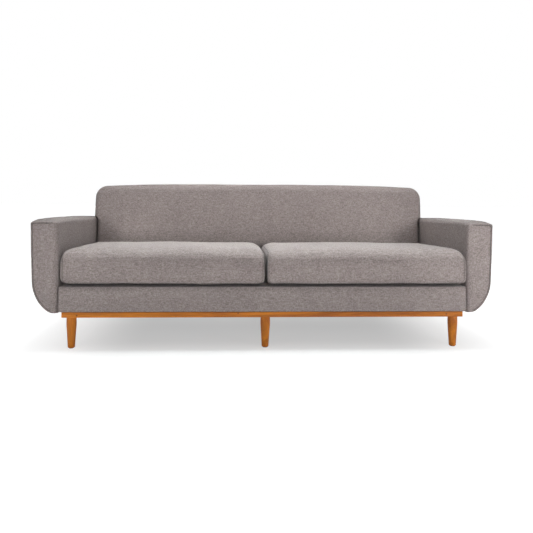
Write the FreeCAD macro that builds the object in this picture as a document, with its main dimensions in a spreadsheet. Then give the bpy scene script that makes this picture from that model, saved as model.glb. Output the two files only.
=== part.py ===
import FreeCAD, Part
import Sketcher
import math
import os
import re
from FreeCAD import Placement, Rotation, Vector

# Three-seater sofa with boat-shaped arms, a tight bench back, two loose seat cushions
# and a wooden plinth on six turned legs.
# Millimetres. X runs along the seat, +X to the right of someone facing the sofa.
# Y runs front to back, the fronts of the arms at the lowest Y. Z is up from the floor.
# The origin is on the floor, under the middle of the sofa's box.

doc = FreeCAD.newDocument("three_seater_sofa")
sheet = doc.addObject("Spreadsheet::Sheet", "Sizes")

DRIVING = (
    ("overall_width", 2260, "over the outsides of the arms"),
    ("overall_depth", 880, "front to rear of the arms"),
    ("overall_height", 815, "floor to the crown of the back"),
    ("fit_clearance", 0.3, "between curved layers, and under loose pieces"),
    ("cut_overrun", 40, "how far a cutting shape runs past what it cuts"),
    ("least_radius", 1, "smallest rounding left on an inner layer"),
    ("cover_thickness", 3, "upholstery cloth with its wadding"),
    # Legs and plinth
    ("leg_length", 152, "floor to the underside of the plinth"),
    ("leg_top_diameter", 46, ""),
    ("leg_belly_diameter", 48, ""),
    ("leg_belly_height", 118, "height of the widest part"),
    ("leg_foot_diameter", 34, ""),
    ("leg_front_setback", 36, "arm fronts to the front legs' axes"),
    ("leg_rear_setback", 62, "arm rears to the rear legs' axes"),
    ("leg_end_distance", 41, "plinth end to the outer legs' axes"),
    ("glide_diameter", 24, ""),
    ("glide_thickness", 3, ""),
    ("tenon_diameter", 22, "turned on the leg's top, glued into the plinth"),
    ("tenon_length", 20, ""),
    ("plinth_height", 26, ""),
    ("plinth_rail_width", 60, ""),
    ("plinth_front_setback", 10, "behind the arm fronts"),
    ("plinth_rear_setback", 36, "before the arm rears"),
    ("plinth_end_setback", 7, "inside the arms' inner faces"),
    ("plinth_edge_radius", 2.5, ""),
    # Seat frame and deck
    ("dust_cover_thickness", 1, ""),
    ("dust_cover_margin", 4, "inside the seat frame's outline"),
    ("seat_rail_height", 106, ""),
    ("seat_rail_thickness", 28, ""),
    ("front_pad_thickness", 15, "padding before the front rail"),
    ("front_pad_lip", 110, "how far the front panel turns in over the deck"),
    ("front_pad_radius", 16, "rounding of the front panel's top edge"),
    ("front_pad_end_radius", 7, ""),
    ("front_pad_end_gap", 1.2, "seam gap between front panel and arm"),
    ("stretcher_thickness", 24, ""),
    ("stretcher_drop", 42, "top of a stretcher below the rails' tops"),
    ("stretcher_place_share", 0.5, "outer stretchers, of the way from the middle to an arm"),
    ("corner_block_leg", 90, ""),
    ("corner_block_height", 60, ""),
    ("webbing_thickness", 2, ""),
    ("webbing_width", 70, ""),
    ("webbing_spacing_share", 0.0985, "of the width between the arms"),
    ("cross_webbing_spacing_share", 0.216, "of the depth over the seat's rails"),
    ("deck_pad_thickness", 18, ""),
    ("deck_end_gap", 1.2, "deck pad to the arms"),
    # Arms
    ("arm_width", 135, ""),
    ("arm_front_height", 610, "floor to the seam along the arm's front"),
    ("arm_peak_height", 621, "highest place along the arm's top edge"),
    ("arm_rear_height", 600, ""),
    ("arm_peak_share", 0.25, "where along the arm the top is highest"),
    ("arm_top_crown", 3, "rise across the arm"),
    ("arm_curve_width", 110, "width of the curve under the arm's outside"),
    ("arm_curve_height", 215, "height of that curve"),
    ("arm_heel_radius", 70, "tight radius at its foot"),
    ("arm_outer_edge_radius", 7, ""),
    ("arm_inner_edge_radius", 25, ""),
    ("arm_nose_depth", 14, "depth of the rounding at the arm's front"),
    ("arm_nose_outer", 6, "how far it draws in on the outside"),
    ("arm_nose_inner", 16, "and on the seat side"),
    ("arm_padding_thickness", 19, "cloth and foam"),
    ("arm_board_thickness", 4, "bent board round the outside, and the seat side"),
    ("arm_board_drop", 46, "top edge of those boards below the lowest top"),
    ("arm_former_thickness", 22, ""),
    ("arm_rail_width", 40, ""),
    ("arm_rail_thickness", 25, ""),
    ("arm_rail_drop", 34, "top of the upper rail below the lowest top"),
    ("arm_sill_height", 90, "height of the rail bolted to the seat frame"),
    ("arm_sill_lift", 8, "its underside above the padding, clear of the bent board"),
    # Back
    ("back_depth", 284, "the back's face at the deck before the arms' rear ends"),
    ("back_lean", 75, "how far the face leans back from deck to top"),
    ("back_rear_setback", 6, "outside back's top before the arms' rear ends"),
    ("rear_lean", 12, "how far the outside back leans, from plinth to top"),
    ("back_side_gap", 3, "between back and arms"),
    ("back_bulge", 13, "how far the back swells over the arms"),
    ("back_bulge_low_share", 0.085, "where that starts, of the height that shows above the arms"),
    ("back_bulge_high_share", 0.26, "where it ends"),
    ("back_corner_share", 0.35, "radius of the upper corners, of that height"),
    ("back_top_crown", 7, ""),
    ("back_nose_depth", 46, "rounding from face to top and sides"),
    ("back_nose_share", 0.23, "how far the rounding lowers the top, of that height"),
    ("back_nose_side", 36, ""),
    ("back_rear_radius", 14, "rounding of the outside back's edges"),
    ("back_padding_thickness", 48, "cloth and foam before the back's webbing"),
    ("back_top_padding", 58, "over the frame, most of it needed at the rounded corners"),
    ("back_side_padding", 25, ""),
    ("back_rib_thickness", 25, ""),
    ("back_frame_depth", 84, "rear seat rail to the outside back at its foot"),
    ("tack_rail_thickness", 22, ""),
    ("tack_rail_height", 70, ""),
    ("back_board_thickness", 4, ""),
    ("back_webbing_spacing_share", 0.11, "of the width of the back's frame"),
    # Seat cushions
    ("cushion_side_gap", 2.5, "cushion to arm"),
    ("cushion_centre_gap", 7, "between the two cushions"),
    ("cushion_rear_gap", 2, "cushion to back"),
    ("cushion_front_height", 172, ""),
    ("cushion_rear_height", 152, ""),
    ("cushion_crown", 12, "rise of the top between front and rear"),
    ("cushion_side_crown", 6, "rise of the top between its sides"),
    ("cushion_draw", 4, "how far the sides pull in between the corners"),
    ("cushion_nose_depth", 34, "waterfall front"),
    ("cushion_nose_top", 34, ""),
    ("cushion_nose_side", 10, ""),
    ("cushion_nose_bottom", 9, ""),
    ("cushion_tail_depth", 20, "rounding at the rear"),
    ("cushion_tail_top", 18, ""),
    ("cushion_top_radius", 18, ""),
    ("cushion_bottom_radius", 14, ""),
    ("cushion_wadding", 12, "cover and wadding round the foam core"),
    ("cushion_top_wadding", 14, "the same over its top, where it is thinnest"),
)

for row, (alias, amount, note) in enumerate(DRIVING, 1):
    sheet.set(f"A{row}", alias)
    sheet.set(f"B{row}", str(amount))
    sheet.set(f"C{row}", note)
    sheet.setAlias(f"B{row}", alias)
doc.recompute()

ALIASES = {alias for alias, amount, note in DRIVING}

# Levels and lines that more than one piece shares, in the sheet's own names
DERIVED = {
    "front": "-overall_depth / 2",
    "rear": "overall_depth / 2",
    "arm_outside": "overall_width / 2",
    "arm_inside": "overall_width / 2 - arm_width",
    "base_top": "leg_length + plinth_height",
    "frame_bottom": "base_top + dust_cover_thickness",
    "rail_top": "frame_bottom + seat_rail_height",
    "web_top": "rail_top + webbing_thickness",
    "deck_top": "web_top + deck_pad_thickness",
    "arm_low_top": "min(arm_front_height; arm_rear_height)",
    "plinth_end": "arm_inside - plinth_end_setback",
    "plinth_front": "front + plinth_front_setback",
    "plinth_rear": "rear - plinth_rear_setback",
    "leg_side": "plinth_end - leg_end_distance",
    "leg_front": "front + leg_front_setback",
    "leg_rear": "rear - leg_rear_setback",
    "rail_front": "front + front_pad_thickness",
    "rail_front_inside": "rail_front + seat_rail_thickness",
    "rail_rear": "rear - back_rear_setback - rear_lean - back_frame_depth",
    "rail_rear_inside": "rail_rear - seat_rail_thickness",
    "rail_side_inside": "arm_inside - seat_rail_thickness",
    "panel_end": "arm_inside - front_pad_end_gap",
    "back_line": "rear - back_depth",
    "back_shows": "overall_height - arm_rear_height",
    "back_frame_top": "overall_height - back_top_padding",
    "back_frame_half": "arm_inside - back_side_gap - back_side_padding",
    "cushion_outside": "arm_inside - cushion_side_gap",
    "cushion_inside": "cushion_centre_gap / 2",
    "cushion_base": "deck_top + fit_clearance",
}


def bound(text):
    """The expression on the size sheet for a sum written in plain size names."""

    def swap(match):
        word = match.group(0)
        if word in DERIVED:
            return f"({bound(DERIVED[word])})"
        return f"Sizes.{word}" if word in ALIASES else word

    return re.sub(r"[a-z_]+", swap, text)


def size(text):
    """The value of such a sum, for shapes that are computed here."""
    return float(sheet.evalExpression(bound(text)))


nodes = []


def keep(feature, name):
    """Mark a finished piece of the sofa, to be written under its own name."""
    feature.Label = name
    nodes.append(feature)
    return feature


def feature_of(kind, name, **links):
    feature = doc.addObject(kind, name)
    for key, target in links.items():
        setattr(feature, key, target)
    return feature


def solid_of(name, shape):
    return feature_of("Part::Feature", name, Shape=shape)


def board(name, x_range, y_range, z_range):
    """A straight board between two sizes along each axis."""
    box = doc.addObject("Part::Box", name)
    ranges = zip(("Length", "Width", "Height"), "xyz", (x_range, y_range, z_range))
    for side, axis, (low, high) in ranges:
        box.setExpression(side, bound(f"{high} - ({low})"))
        box.setExpression(f"Placement.Base.{axis}", bound(low))
    return box


def outline_sketch(body, plane, corners, low):
    """A closed outline of straight lines, each corner held by two sizes."""
    sketch = body.newObject("Sketcher::SketchObject", f"{body.Name}_outline")
    role = f"{plane}_Plane"
    origin_plane = [item for item in body.Origin.OriginFeatures if item.Role == role][0]
    sketch.AttachmentSupport = [(origin_plane, "")]
    sketch.MapMode = "FlatFace"
    points = [Vector(size(across), size(up), 0) for across, up in corners]
    for index, point in enumerate(points):
        following = points[(index + 1) % len(points)]
        sketch.addGeometry(Part.LineSegment(point, following), False)
    for index, (across, up) in enumerate(corners):
        sketch.addConstraint(Sketcher.Constraint("Coincident", index, 2, (index + 1) % len(points), 1))
        for kind, text in (("DistanceX", across), ("DistanceY", up)):
            rule = sketch.addConstraint(Sketcher.Constraint(kind, -1, 1, index, 1, size(text)))
            sketch.setExpression(f"Constraints[{rule}]", bound(text))
    sketch.setExpression("AttachmentOffset.Base.z", bound(low))
    return sketch


def padded_body(name, plane, corners, low, high):
    """A piece cut to an outline and extended from one size to another."""
    body = doc.addObject("PartDesign::Body", name)
    sketch = outline_sketch(body, plane, corners, low)
    pad = body.newObject("PartDesign::Pad", f"{name}_pad")
    pad.Profile = sketch
    pad.setExpression("Length", bound(f"{high} - ({low})"))
    return body


def rounded(body, radius, chosen):
    """Round the edges of a body's last feature for which chosen(edge) is true."""
    doc.recompute()
    tip = body.Tip
    names = [f"Edge{number}" for number, edge in enumerate(tip.Shape.Edges, 1) if chosen(edge)]
    fillet = body.newObject("PartDesign::Fillet", f"{body.Name}_{radius}")
    fillet.Base = (tip, names)
    fillet.setExpression("Radius", bound(radius))
    return body


HARDLY_ANY = 1e-6


def runs_along(edge, axis):
    return edge.Curve.TypeId == "Part::GeomLine" and abs(abs(edge.Curve.Direction.dot(axis)) - 1) < HARDLY_ANY


def mirrored(feature, name):
    """The left-hand twin of a right-hand piece."""
    return feature_of("Part::Mirroring", name, Source=feature, Normal=Vector(1, 0, 0))


def keep_pair(feature, name):
    """Keep a right-hand piece and its left-hand twin."""
    keep(mirrored(feature, f"left_{name}"), f"left_{name}")
    keep(feature, f"right_{name}")


def group(name, features):
    return keep(feature_of("Part::Compound", name, Links=features), name)


def cut_from(base, tool, name):
    return feature_of("Part::Cut", name, Base=base, Tool=tool)


# Wooden plinth: five rails under the seat frame, bored for the tenons of the legs

X_AXIS = Vector(1, 0, 0)
LEG_COLUMNS = (("left", "-leg_side"), ("centre", "0"), ("right", "leg_side"))
LEG_ROWS = (("front", "leg_front"), ("rear", "leg_rear"))


def upright_cylinder(name, place, radius, low, high):
    cylinder = doc.addObject("Part::Cylinder", name)
    cylinder.setExpression("Radius", bound(radius))
    cylinder.setExpression("Height", bound(f"{high} - ({low})"))
    for axis, text in zip("xyz", (*place, low)):
        cylinder.setExpression(f"Placement.Base.{axis}", bound(text))
    return cylinder


def bored_rail(name, y_range, leg_line):
    """A rail across the whole plinth, with a bore for each leg of a row."""
    corners = (
        (y_range[0], "leg_length"),
        (y_range[1], "leg_length"),
        (y_range[1], "base_top"),
        (y_range[0], "base_top"),
    )
    body = padded_body(f"{name}_blank", "YZ", corners, "-plinth_end", "plinth_end")
    rounded(body, "plinth_edge_radius", lambda edge: runs_along(edge, X_AXIS))
    bores = [
        upright_cylinder(
            f"{name}_{column}_bore",
            (across, leg_line),
            "tenon_diameter / 2 + fit_clearance",
            "leg_length - cut_overrun",
            "leg_length + tenon_length + fit_clearance",
        )
        for column, across in LEG_COLUMNS
    ]
    drill = feature_of("Part::Compound", f"{name}_drill", Links=bores)
    keep(cut_from(body, drill, name), name)


bored_rail("plinth_front_rail", ("plinth_front", "plinth_front + plinth_rail_width"), "leg_front")
bored_rail("plinth_rear_rail", ("plinth_rear - plinth_rail_width", "plinth_rear"), "leg_rear")
between_rails = ("plinth_front + plinth_rail_width", "plinth_rear - plinth_rail_width")
for column, low, high in (
    ("left", "-plinth_end", "plinth_rail_width - plinth_end"),
    ("centre", "-plinth_rail_width / 2", "plinth_rail_width / 2"),
    ("right", "plinth_end - plinth_rail_width", "plinth_end"),
):
    name = f"plinth_{column}_rail"
    keep(board(name, (low, high), between_rails, ("leg_length", "base_top")), name)

# Turned legs, each with its tenon, and a nylon glide under each

LEG_PROFILE = (
    ("0", "glide_thickness"),
    ("leg_foot_diameter / 2", "glide_thickness"),
    ("leg_belly_diameter / 2", "leg_belly_height"),
    ("leg_top_diameter / 2", "leg_length"),
    ("tenon_diameter / 2", "leg_length"),
    ("tenon_diameter / 2", "leg_length + tenon_length"),
    ("0", "leg_length + tenon_length"),
)

glides = []
for row_name, along in LEG_ROWS:
    legs = []
    for column, across in LEG_COLUMNS:
        name = f"{row_name}_{column}_leg"
        leg = doc.addObject("PartDesign::Body", name)
        profile = outline_sketch(leg, "XZ", LEG_PROFILE, "0")
        turning = leg.newObject("PartDesign::Revolution", f"{name}_turning")
        turning.Profile = profile
        turning.ReferenceAxis = (profile, ["V_Axis"])
        turning.Angle = 360
        leg.setExpression("Placement.Base.x", bound(across))
        leg.setExpression("Placement.Base.y", bound(along))
        legs.append(leg)
        place = (across, along)
        glides.append(upright_cylinder(f"{name}_glide", place, "glide_diameter / 2", "0", "glide_thickness"))
    group(f"{row_name}_legs", legs)
group("leg_glides", glides)

# Seat frame: rails, stretchers and corner blocks, with the dust cover stapled under it

rail_levels = ("frame_bottom", "rail_top")
seat_width = ("-arm_inside", "arm_inside")
keep(
    board(
        "dust_cover",
        ("dust_cover_margin - arm_inside", "arm_inside - dust_cover_margin"),
        ("rail_front + dust_cover_margin", "rear - back_rear_setback - rear_lean - dust_cover_margin"),
        ("base_top", "frame_bottom"),
    ),
    "dust_cover",
)
for name, depth in (
    ("seat_front_rail", ("rail_front", "rail_front_inside")),
    ("seat_rear_rail", ("rail_rear_inside", "rail_rear")),
):
    keep(board(name, seat_width, depth, rail_levels), name)
keep_pair(
    board(
        "seat_side_rail",
        ("rail_side_inside", "arm_inside"),
        ("rail_front_inside", "rail_rear_inside"),
        ("frame_bottom", "rail_top - webbing_thickness"),
    ),
    "seat_side_rail",
)
stretcher_place = "arm_inside * stretcher_place_share"
for column, across in (("left", f"-{stretcher_place}"), ("centre", "0"), ("right", stretcher_place)):
    name = f"seat_{column}_stretcher"
    stretcher = board(
        name,
        (f"{across} - stretcher_thickness / 2", f"{across} + stretcher_thickness / 2"),
        ("rail_front_inside", "rail_rear_inside"),
        ("frame_bottom", "rail_top - stretcher_drop"),
    )
    keep(stretcher, name)

blocks = []
for row_name, corner, step in (
    ("front", "rail_front_inside", "+ corner_block_leg"),
    ("rear", "rail_rear_inside", "- corner_block_leg"),
):
    corners = (
        ("rail_side_inside", corner),
        ("rail_side_inside - corner_block_leg", corner),
        ("rail_side_inside", f"{corner} {step}"),
    )
    top = "frame_bottom + corner_block_height"
    block = padded_body(f"{row_name}_right_block", "XY", corners, "frame_bottom", top)
    blocks += [block, mirrored(block, f"{row_name}_left_block")]
group("seat_corner_blocks", blocks)


def straps(name, count, spacing, strap):
    """Evenly spaced webbing straps about the middle, made by strap(name, low, high)."""
    made = []
    for index in range(count):
        middle = f"{spacing} * {index - (count - 1) / 2}"
        low = f"{middle} - webbing_width / 2"
        high = f"{middle} + webbing_width / 2"
        made.append(strap(f"{name}_{index + 1}", low, high))
    return group(name, made)


SEAT_STRAPS = 9
SEAT_CROSS_STRAPS = 3
seat_middle = "(rail_front + rail_rear) / 2"
straps(
    "seat_webbing",
    SEAT_STRAPS,
    "2 * arm_inside * webbing_spacing_share",
    lambda name, low, high: board(name, (low, high), ("rail_front", "rail_rear"), ("rail_top", "web_top")),
)
straps(
    "seat_cross_webbing",
    SEAT_CROSS_STRAPS,
    "(rail_rear - rail_front) * cross_webbing_spacing_share",
    lambda name, low, high: board(
        name,
        seat_width,
        (f"{seat_middle} + {low}", f"{seat_middle} + {high}"),
        ("rail_top - webbing_thickness", "rail_top"),
    ),
)

# Padded deck behind the upholstered front panel, which turns in over the rail

keep(
    board(
        "deck_pad",
        ("deck_end_gap - arm_inside", "arm_inside - deck_end_gap"),
        ("front + front_pad_lip", "rail_rear"),
        ("web_top", "deck_top"),
    ),
    "deck_pad",
)
panel = padded_body(
    "seat_front_panel",
    "YZ",
    (
        ("front", "base_top"),
        ("rail_front", "base_top"),
        ("rail_front", "web_top"),
        ("front + front_pad_lip", "web_top"),
        ("front + front_pad_lip", "deck_top"),
        ("front", "deck_top"),
    ),
    "-panel_end",
    "panel_end",
)
rounded(
    panel,
    "front_pad_radius",
    lambda edge: runs_along(edge, X_AXIS)
    and abs(edge.CenterOfMass.y - size("front")) < HARDLY_ANY
    and edge.CenterOfMass.z > size("web_top"),
)
rounded(
    panel,
    "front_pad_end_radius",
    lambda edge: abs(abs(edge.CenterOfMass.x) - size("panel_end")) < HARDLY_ANY
    and edge.CenterOfMass.y < size("rail_front - front_pad_thickness / 2")
    and edge.CenterOfMass.z > size("base_top + cover_thickness"),
)
keep(panel, "seat_front_panel")


# Curved outlines: a list of places joined by lines, with arcs where a middle place is given


def curve_wire(steps, place):
    """A closed wire of steps (start, end) or (start, middle, end), set in space by place."""
    edges = []
    for step in steps:
        points = [place(*point) for point in step]
        if len(points) == 2:
            edges.append(Part.makeLine(*points))
        else:
            edges.append(Part.Arc(*points).toShape())
    return Part.Wire(edges)


def quarter(centre, radius, start_degrees, turn_degrees=90):
    """Start, middle and end of an arc about a centre, anticlockwise."""
    angles = [math.radians(start_degrees + turn_degrees * share) for share in (0, 0.5, 1)]
    return tuple((centre[0] + radius * math.cos(a), centre[1] + radius * math.sin(a)) for a in angles)


def nose_steps(count):
    """How far in, and how far along, a rounded front has come at each of its stations."""
    turns = [math.pi / 2 * index / count for index in range(count + 1)]
    return [(1 - math.sin(turn), 1 - math.cos(turn)) for turn in turns]


def left_over(text, inset):
    """What is left of a rounding on a layer that lies inset below the surface."""
    return max(size(text) - inset, 0)


# Arms: cloth, foam, bent boards, and a frame of formers and rails, nested in one another


def arm_top(share):
    """Height of the arm's top edge at a share of its length: a quick rise, then a long fall."""
    peak = size("arm_peak_share")
    highest = size("arm_peak_height")
    if share <= peak:
        start = size("arm_front_height")
        return start + (highest - start) * math.sin(math.pi / 2 * share / peak)
    end = size("arm_rear_height")
    return end + (highest - end) * math.cos(math.pi / 2 * (share - peak) / (1 - peak))


def arm_section(y, top, inset, nose_outer, nose_inner):
    """The boat-shaped outline of the right arm, drawn in by inset and by the nose."""
    drawn = inset + nose_outer
    outside = size("arm_outside") - drawn
    inside = size("arm_inside") + inset + nose_inner
    bottom = size("base_top") + drawn
    width = size("arm_curve_width")
    height = size("arm_curve_height")
    heel = size("arm_heel_radius")
    side = (width**2 + height**2 - 2 * height * heel) / (2 * (width - heel))
    heel_centre = (size("arm_outside") - width, size("base_top") + heel)
    side_centre = (size("arm_outside") - side, size("base_top") + height)
    turn = math.degrees(math.atan2(side_centre[1] - heel_centre[1], heel_centre[0] - side_centre[0]))
    heel_arc = quarter(heel_centre, heel - drawn, -90, 90 - turn)
    side_arc = quarter(side_centre, side - drawn, -turn, turn)
    ceiling = top - inset
    outer_radius = max(size("arm_outer_edge_radius") - drawn, size("least_radius"))
    inner_radius = max(size("arm_inner_edge_radius") - inset, size("least_radius"))
    outer_corner = quarter((outside - outer_radius, ceiling - outer_radius), outer_radius, 0)
    inner_corner = quarter((inside + inner_radius, ceiling - inner_radius), inner_radius, 90)
    crown = ((outer_corner[2][0] + inner_corner[0][0]) / 2, ceiling + size("arm_top_crown"))
    steps = (
        ((inside, bottom), heel_arc[0]),
        heel_arc,
        side_arc,
        (side_arc[2], outer_corner[0]),
        outer_corner,
        (outer_corner[2], crown, inner_corner[0]),
        inner_corner,
        (inner_corner[2], (inside, bottom)),
    )
    return curve_wire(steps, lambda x, z: Vector(x, y, z))


ARM_NOSE_STATIONS = 3
ARM_STATION_SHARES = (0, 0.08, 0.2, 0.36, 0.56, 0.78, 1)


def arm_form(name, inset):
    """The right arm's solid form, drawn in by inset all round."""
    start = size("front") + inset
    end = size("rear") - inset
    depth = left_over("arm_nose_depth", inset)

    def section(along, drawn):
        share = (along - start) / (end - start)
        nose_outer = left_over("arm_nose_outer", inset) * drawn
        nose_inner = left_over("arm_nose_inner", inset) * drawn
        return arm_section(along, arm_top(share), inset, nose_outer, nose_inner)

    nose = nose_steps(ARM_NOSE_STATIONS)[:-1] if depth else []
    stations = [section(start + depth * forward, drawn) for drawn, forward in nose]
    run = end - start - depth
    stations += [section(start + depth + run * share, 0) for share in ARM_STATION_SHARES]
    return solid_of(name, Part.makeLoft(stations, True, True))


board_inset = "(arm_padding_thickness + fit_clearance)"
frame_inset = f"({board_inset} + arm_board_thickness + fit_clearance)"
arm_layers = (
    ("cloth", "0"),
    ("padding_inside", "arm_padding_thickness"),
    ("board", board_inset),
    ("board_inside", f"{board_inset} + arm_board_thickness"),
    ("frame", frame_inset),
)
arm = {layer: arm_form(f"arm_{layer}_form", size(inset)) for layer, inset in arm_layers}
keep_pair(cut_from(arm["cloth"], arm["padding_inside"], "arm_upholstery"), "arm_upholstery")

arm_frame_front = f"front + {frame_inset}"
arm_frame_rear = f"rear - {frame_inset}"
board_top = "arm_low_top - arm_board_drop"
board_shell = cut_from(arm["board"], arm["board_inside"], "arm_board_shell")
inner_zone = board(
    "arm_inner_zone",
    ("arm_inside", f"arm_inside + {board_inset} + arm_board_thickness"),
    (arm_frame_front, arm_frame_rear),
    ("frame_bottom + arm_sill_height", board_top),
)
outer_zone = board(
    "arm_outer_zone",
    ("arm_outside - arm_curve_width", "arm_outside + cut_overrun"),
    (arm_frame_front, arm_frame_rear),
    ("base_top", board_top),
)
keep_pair(feature_of("Part::Common", "arm_inner_board", Base=board_shell, Tool=inner_zone), "arm_inner_board")
keep_pair(feature_of("Part::Common", "arm_outer_board", Base=board_shell, Tool=outer_zone), "arm_outer_board")

rail_run = (f"{arm_frame_front} + arm_former_thickness", f"{arm_frame_rear} - arm_former_thickness")
arm_rail_top = "arm_low_top - arm_rail_drop"
arm_middle = "(arm_outside + arm_inside) / 2"
top_rail = board(
    "arm_top_rail",
    (f"{arm_middle} - arm_rail_width / 2", f"{arm_middle} + arm_rail_width / 2"),
    rail_run,
    (f"{arm_rail_top} - arm_rail_thickness", arm_rail_top),
)
sill_bottom = f"base_top + {frame_inset} + arm_sill_lift"
sill = board(
    "arm_sill",
    (f"arm_inside + {frame_inset}", f"arm_inside + {frame_inset} + arm_rail_thickness"),
    rail_run,
    (sill_bottom, f"{sill_bottom} + arm_sill_height"),
)
keep_pair(top_rail, "arm_top_rail")
keep_pair(sill, "arm_sill")
former_places = (
    ("front", arm_frame_front, f"{arm_frame_front} + arm_former_thickness"),
    ("middle", "-arm_former_thickness / 2", "arm_former_thickness / 2"),
    ("rear", f"{arm_frame_rear} - arm_former_thickness", arm_frame_rear),
)
for place, low, high in former_places:
    name = f"arm_{place}_former"
    slab = board(f"{name}_slab", ("arm_inside", "arm_outside"), (low, high), ("base_top", "overall_height"))
    former = feature_of("Part::Common", name, Base=arm["frame"], Tool=slab)
    if place == "middle":
        rails = feature_of("Part::Compound", "arm_rail_notches", Links=[top_rail, sill])
        former = cut_from(former, rails, f"{name}_notched")
    keep_pair(former, name)

# Back: a raked, padded bench back whose frame of ribs stands behind the seat's rear rail


def face_line(z):
    """Where the face of the back lies at a height."""
    return f"(back_line + back_lean * ({z} - deck_top) / (overall_height - deck_top))"


def rear_line(z):
    """Where the outside back lies at a height."""
    return f"(rear - back_rear_setback - rear_lean * (overall_height - ({z})) / (overall_height - base_top))"


BACK_NOSE_STATIONS = 4
back_nose = nose_steps(BACK_NOSE_STATIONS)
back_rise = size("overall_height - deck_top")
back_angle = math.atan2(size("back_lean"), back_rise)
nose_up = size("back_nose_share * back_shows") * math.cos(back_angle)
nose_back = size("back_nose_depth") * math.sin(back_angle)
nose_dip = min(nose_up * drawn + nose_back * forward for drawn, forward in back_nose)


def back_section(forward, drawn):
    """The back's outline seen square to its face, with crowned top and swelling sides."""
    narrow = size("arm_inside - back_side_gap") - size("back_nose_side") * drawn
    wide = narrow + size("back_bulge")
    peak = (back_rise + nose_dip - nose_up * drawn) / math.cos(back_angle)
    top = peak - size("back_top_crown")
    shares = ("back_bulge_low_share", "back_bulge_high_share")
    levels = [size(f"arm_rear_height + {share} * back_shows - deck_top") for share in shares]
    swell, swelled = (level / math.cos(back_angle) for level in levels)
    foot = size("frame_bottom - deck_top - cut_overrun")
    radius = size("back_corner_share * back_shows")
    right = quarter((wide - radius, top - radius), radius, 0)
    left = quarter((radius - wide, top - radius), radius, 90)
    steps = (
        ((-narrow, foot), (narrow, foot)),
        ((narrow, foot), (narrow, swell)),
        ((narrow, swell), (wide, swelled)),
        ((wide, swelled), right[0]),
        right,
        (right[2], (0, peak), left[0]),
        left,
        (left[2], (-wide, swelled)),
        ((-wide, swelled), (-narrow, swell)),
        ((-narrow, swell), (-narrow, foot)),
    )
    return curve_wire(steps, lambda x, up: Vector(x, forward, up))


def back_form(name):
    """The back's solid form, leaning on its face and cut to the profile of seat and outside back."""
    stations = [back_section(size("back_nose_depth") * forward, drawn) for drawn, forward in back_nose]
    stations.append(back_section(size("overall_depth / 2"), 0))
    pillow = Part.makeLoft(stations, True, True)
    turn = Rotation(X_AXIS, -math.degrees(back_angle))
    pillow.Placement = Placement(Vector(0, size("back_line"), size("deck_top")), turn)
    high = "overall_height + cut_overrun"
    corners = (
        ("rail_rear", "frame_bottom"),
        (rear_line("frame_bottom"), "frame_bottom"),
        (rear_line(high), high),
        ("front", high),
        ("front", "deck_top"),
        ("rail_rear", "deck_top"),
    )
    reach = size("arm_outside")
    points = [Vector(-reach, size(along), size(up)) for along, up in corners]
    wedge = Part.Face(Part.makePolygon(points + points[:1])).extrude(Vector(2 * reach, 0, 0))
    form = pillow.common(wedge)
    rear_normal = Vector(0, size("overall_height - base_top"), -size("rear_lean")).normalize()
    flat_faces = [face for face in form.Faces if face.Surface.TypeId == "Part::GeomPlane"]
    rear_faces = [face for face in flat_faces if abs(face.normalAt(0, 0).dot(rear_normal) - 1) < HARDLY_ANY]
    edges = [edge for face in rear_faces for edge in face.Edges if edge.CenterOfMass.z > size("deck_top")]
    return solid_of(name, form.makeFillet(size("back_rear_radius"), edges))


frame_face = "back_padding_thickness"
tack_face = f"{frame_face} + webbing_thickness"
rib_face = f"{tack_face} + tack_rail_thickness"


def frame_strip(name, x_low, x_high, low, high, start, end):
    """A board that lies along the leaning face between two heights, start to end behind it."""
    corners = (
        (f"{face_line(low)} + {start}", low),
        (f"{face_line(low)} + {end}", low),
        (f"{face_line(high)} + {end}", high),
        (f"{face_line(high)} + {start}", high),
    )
    return padded_body(name, "YZ", corners, x_low, x_high)


board_back = "cover_thickness"
board_face = f"({board_back} + back_board_thickness)"
frame_room = padded_body(
    "back_frame_room",
    "YZ",
    (
        (f"{face_line('deck_top')} + {frame_face}", "frame_bottom - cut_overrun"),
        (f"{face_line('deck_top')} + {frame_face}", "deck_top"),
        (f"{face_line('back_frame_top')} + {frame_face}", "back_frame_top"),
        (f"{rear_line('back_frame_top')} - {board_back}", "back_frame_top"),
        (f"{rear_line('frame_bottom - cut_overrun')} - {board_back}", "frame_bottom - cut_overrun"),
    ),
    "-back_frame_half",
    "back_frame_half",
)
keep(cut_from(back_form("back_form"), frame_room, "back_upholstery"), "back_upholstery")

RIB_PLACE_SHARES = (-1, -0.5, 0, 0.5, 1)
for number, share in enumerate(RIB_PLACE_SHARES, 1):
    name = f"back_rib_{number}"
    middle = f"(back_frame_half - back_rib_thickness / 2) * {share}"
    corners = (
        ("rail_rear", "frame_bottom"),
        (f"{rear_line('frame_bottom')} - {board_face}", "frame_bottom"),
        (f"{rear_line('back_frame_top')} - {board_face}", "back_frame_top"),
        (f"{face_line('back_frame_top')} + {rib_face}", "back_frame_top"),
        (f"{face_line('deck_top')} + {rib_face}", "deck_top"),
        ("rail_rear", "deck_top"),
    )
    low = f"{middle} - back_rib_thickness / 2"
    high = f"{middle} + back_rib_thickness / 2"
    keep(padded_body(name, "YZ", corners, low, high), name)

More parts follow.
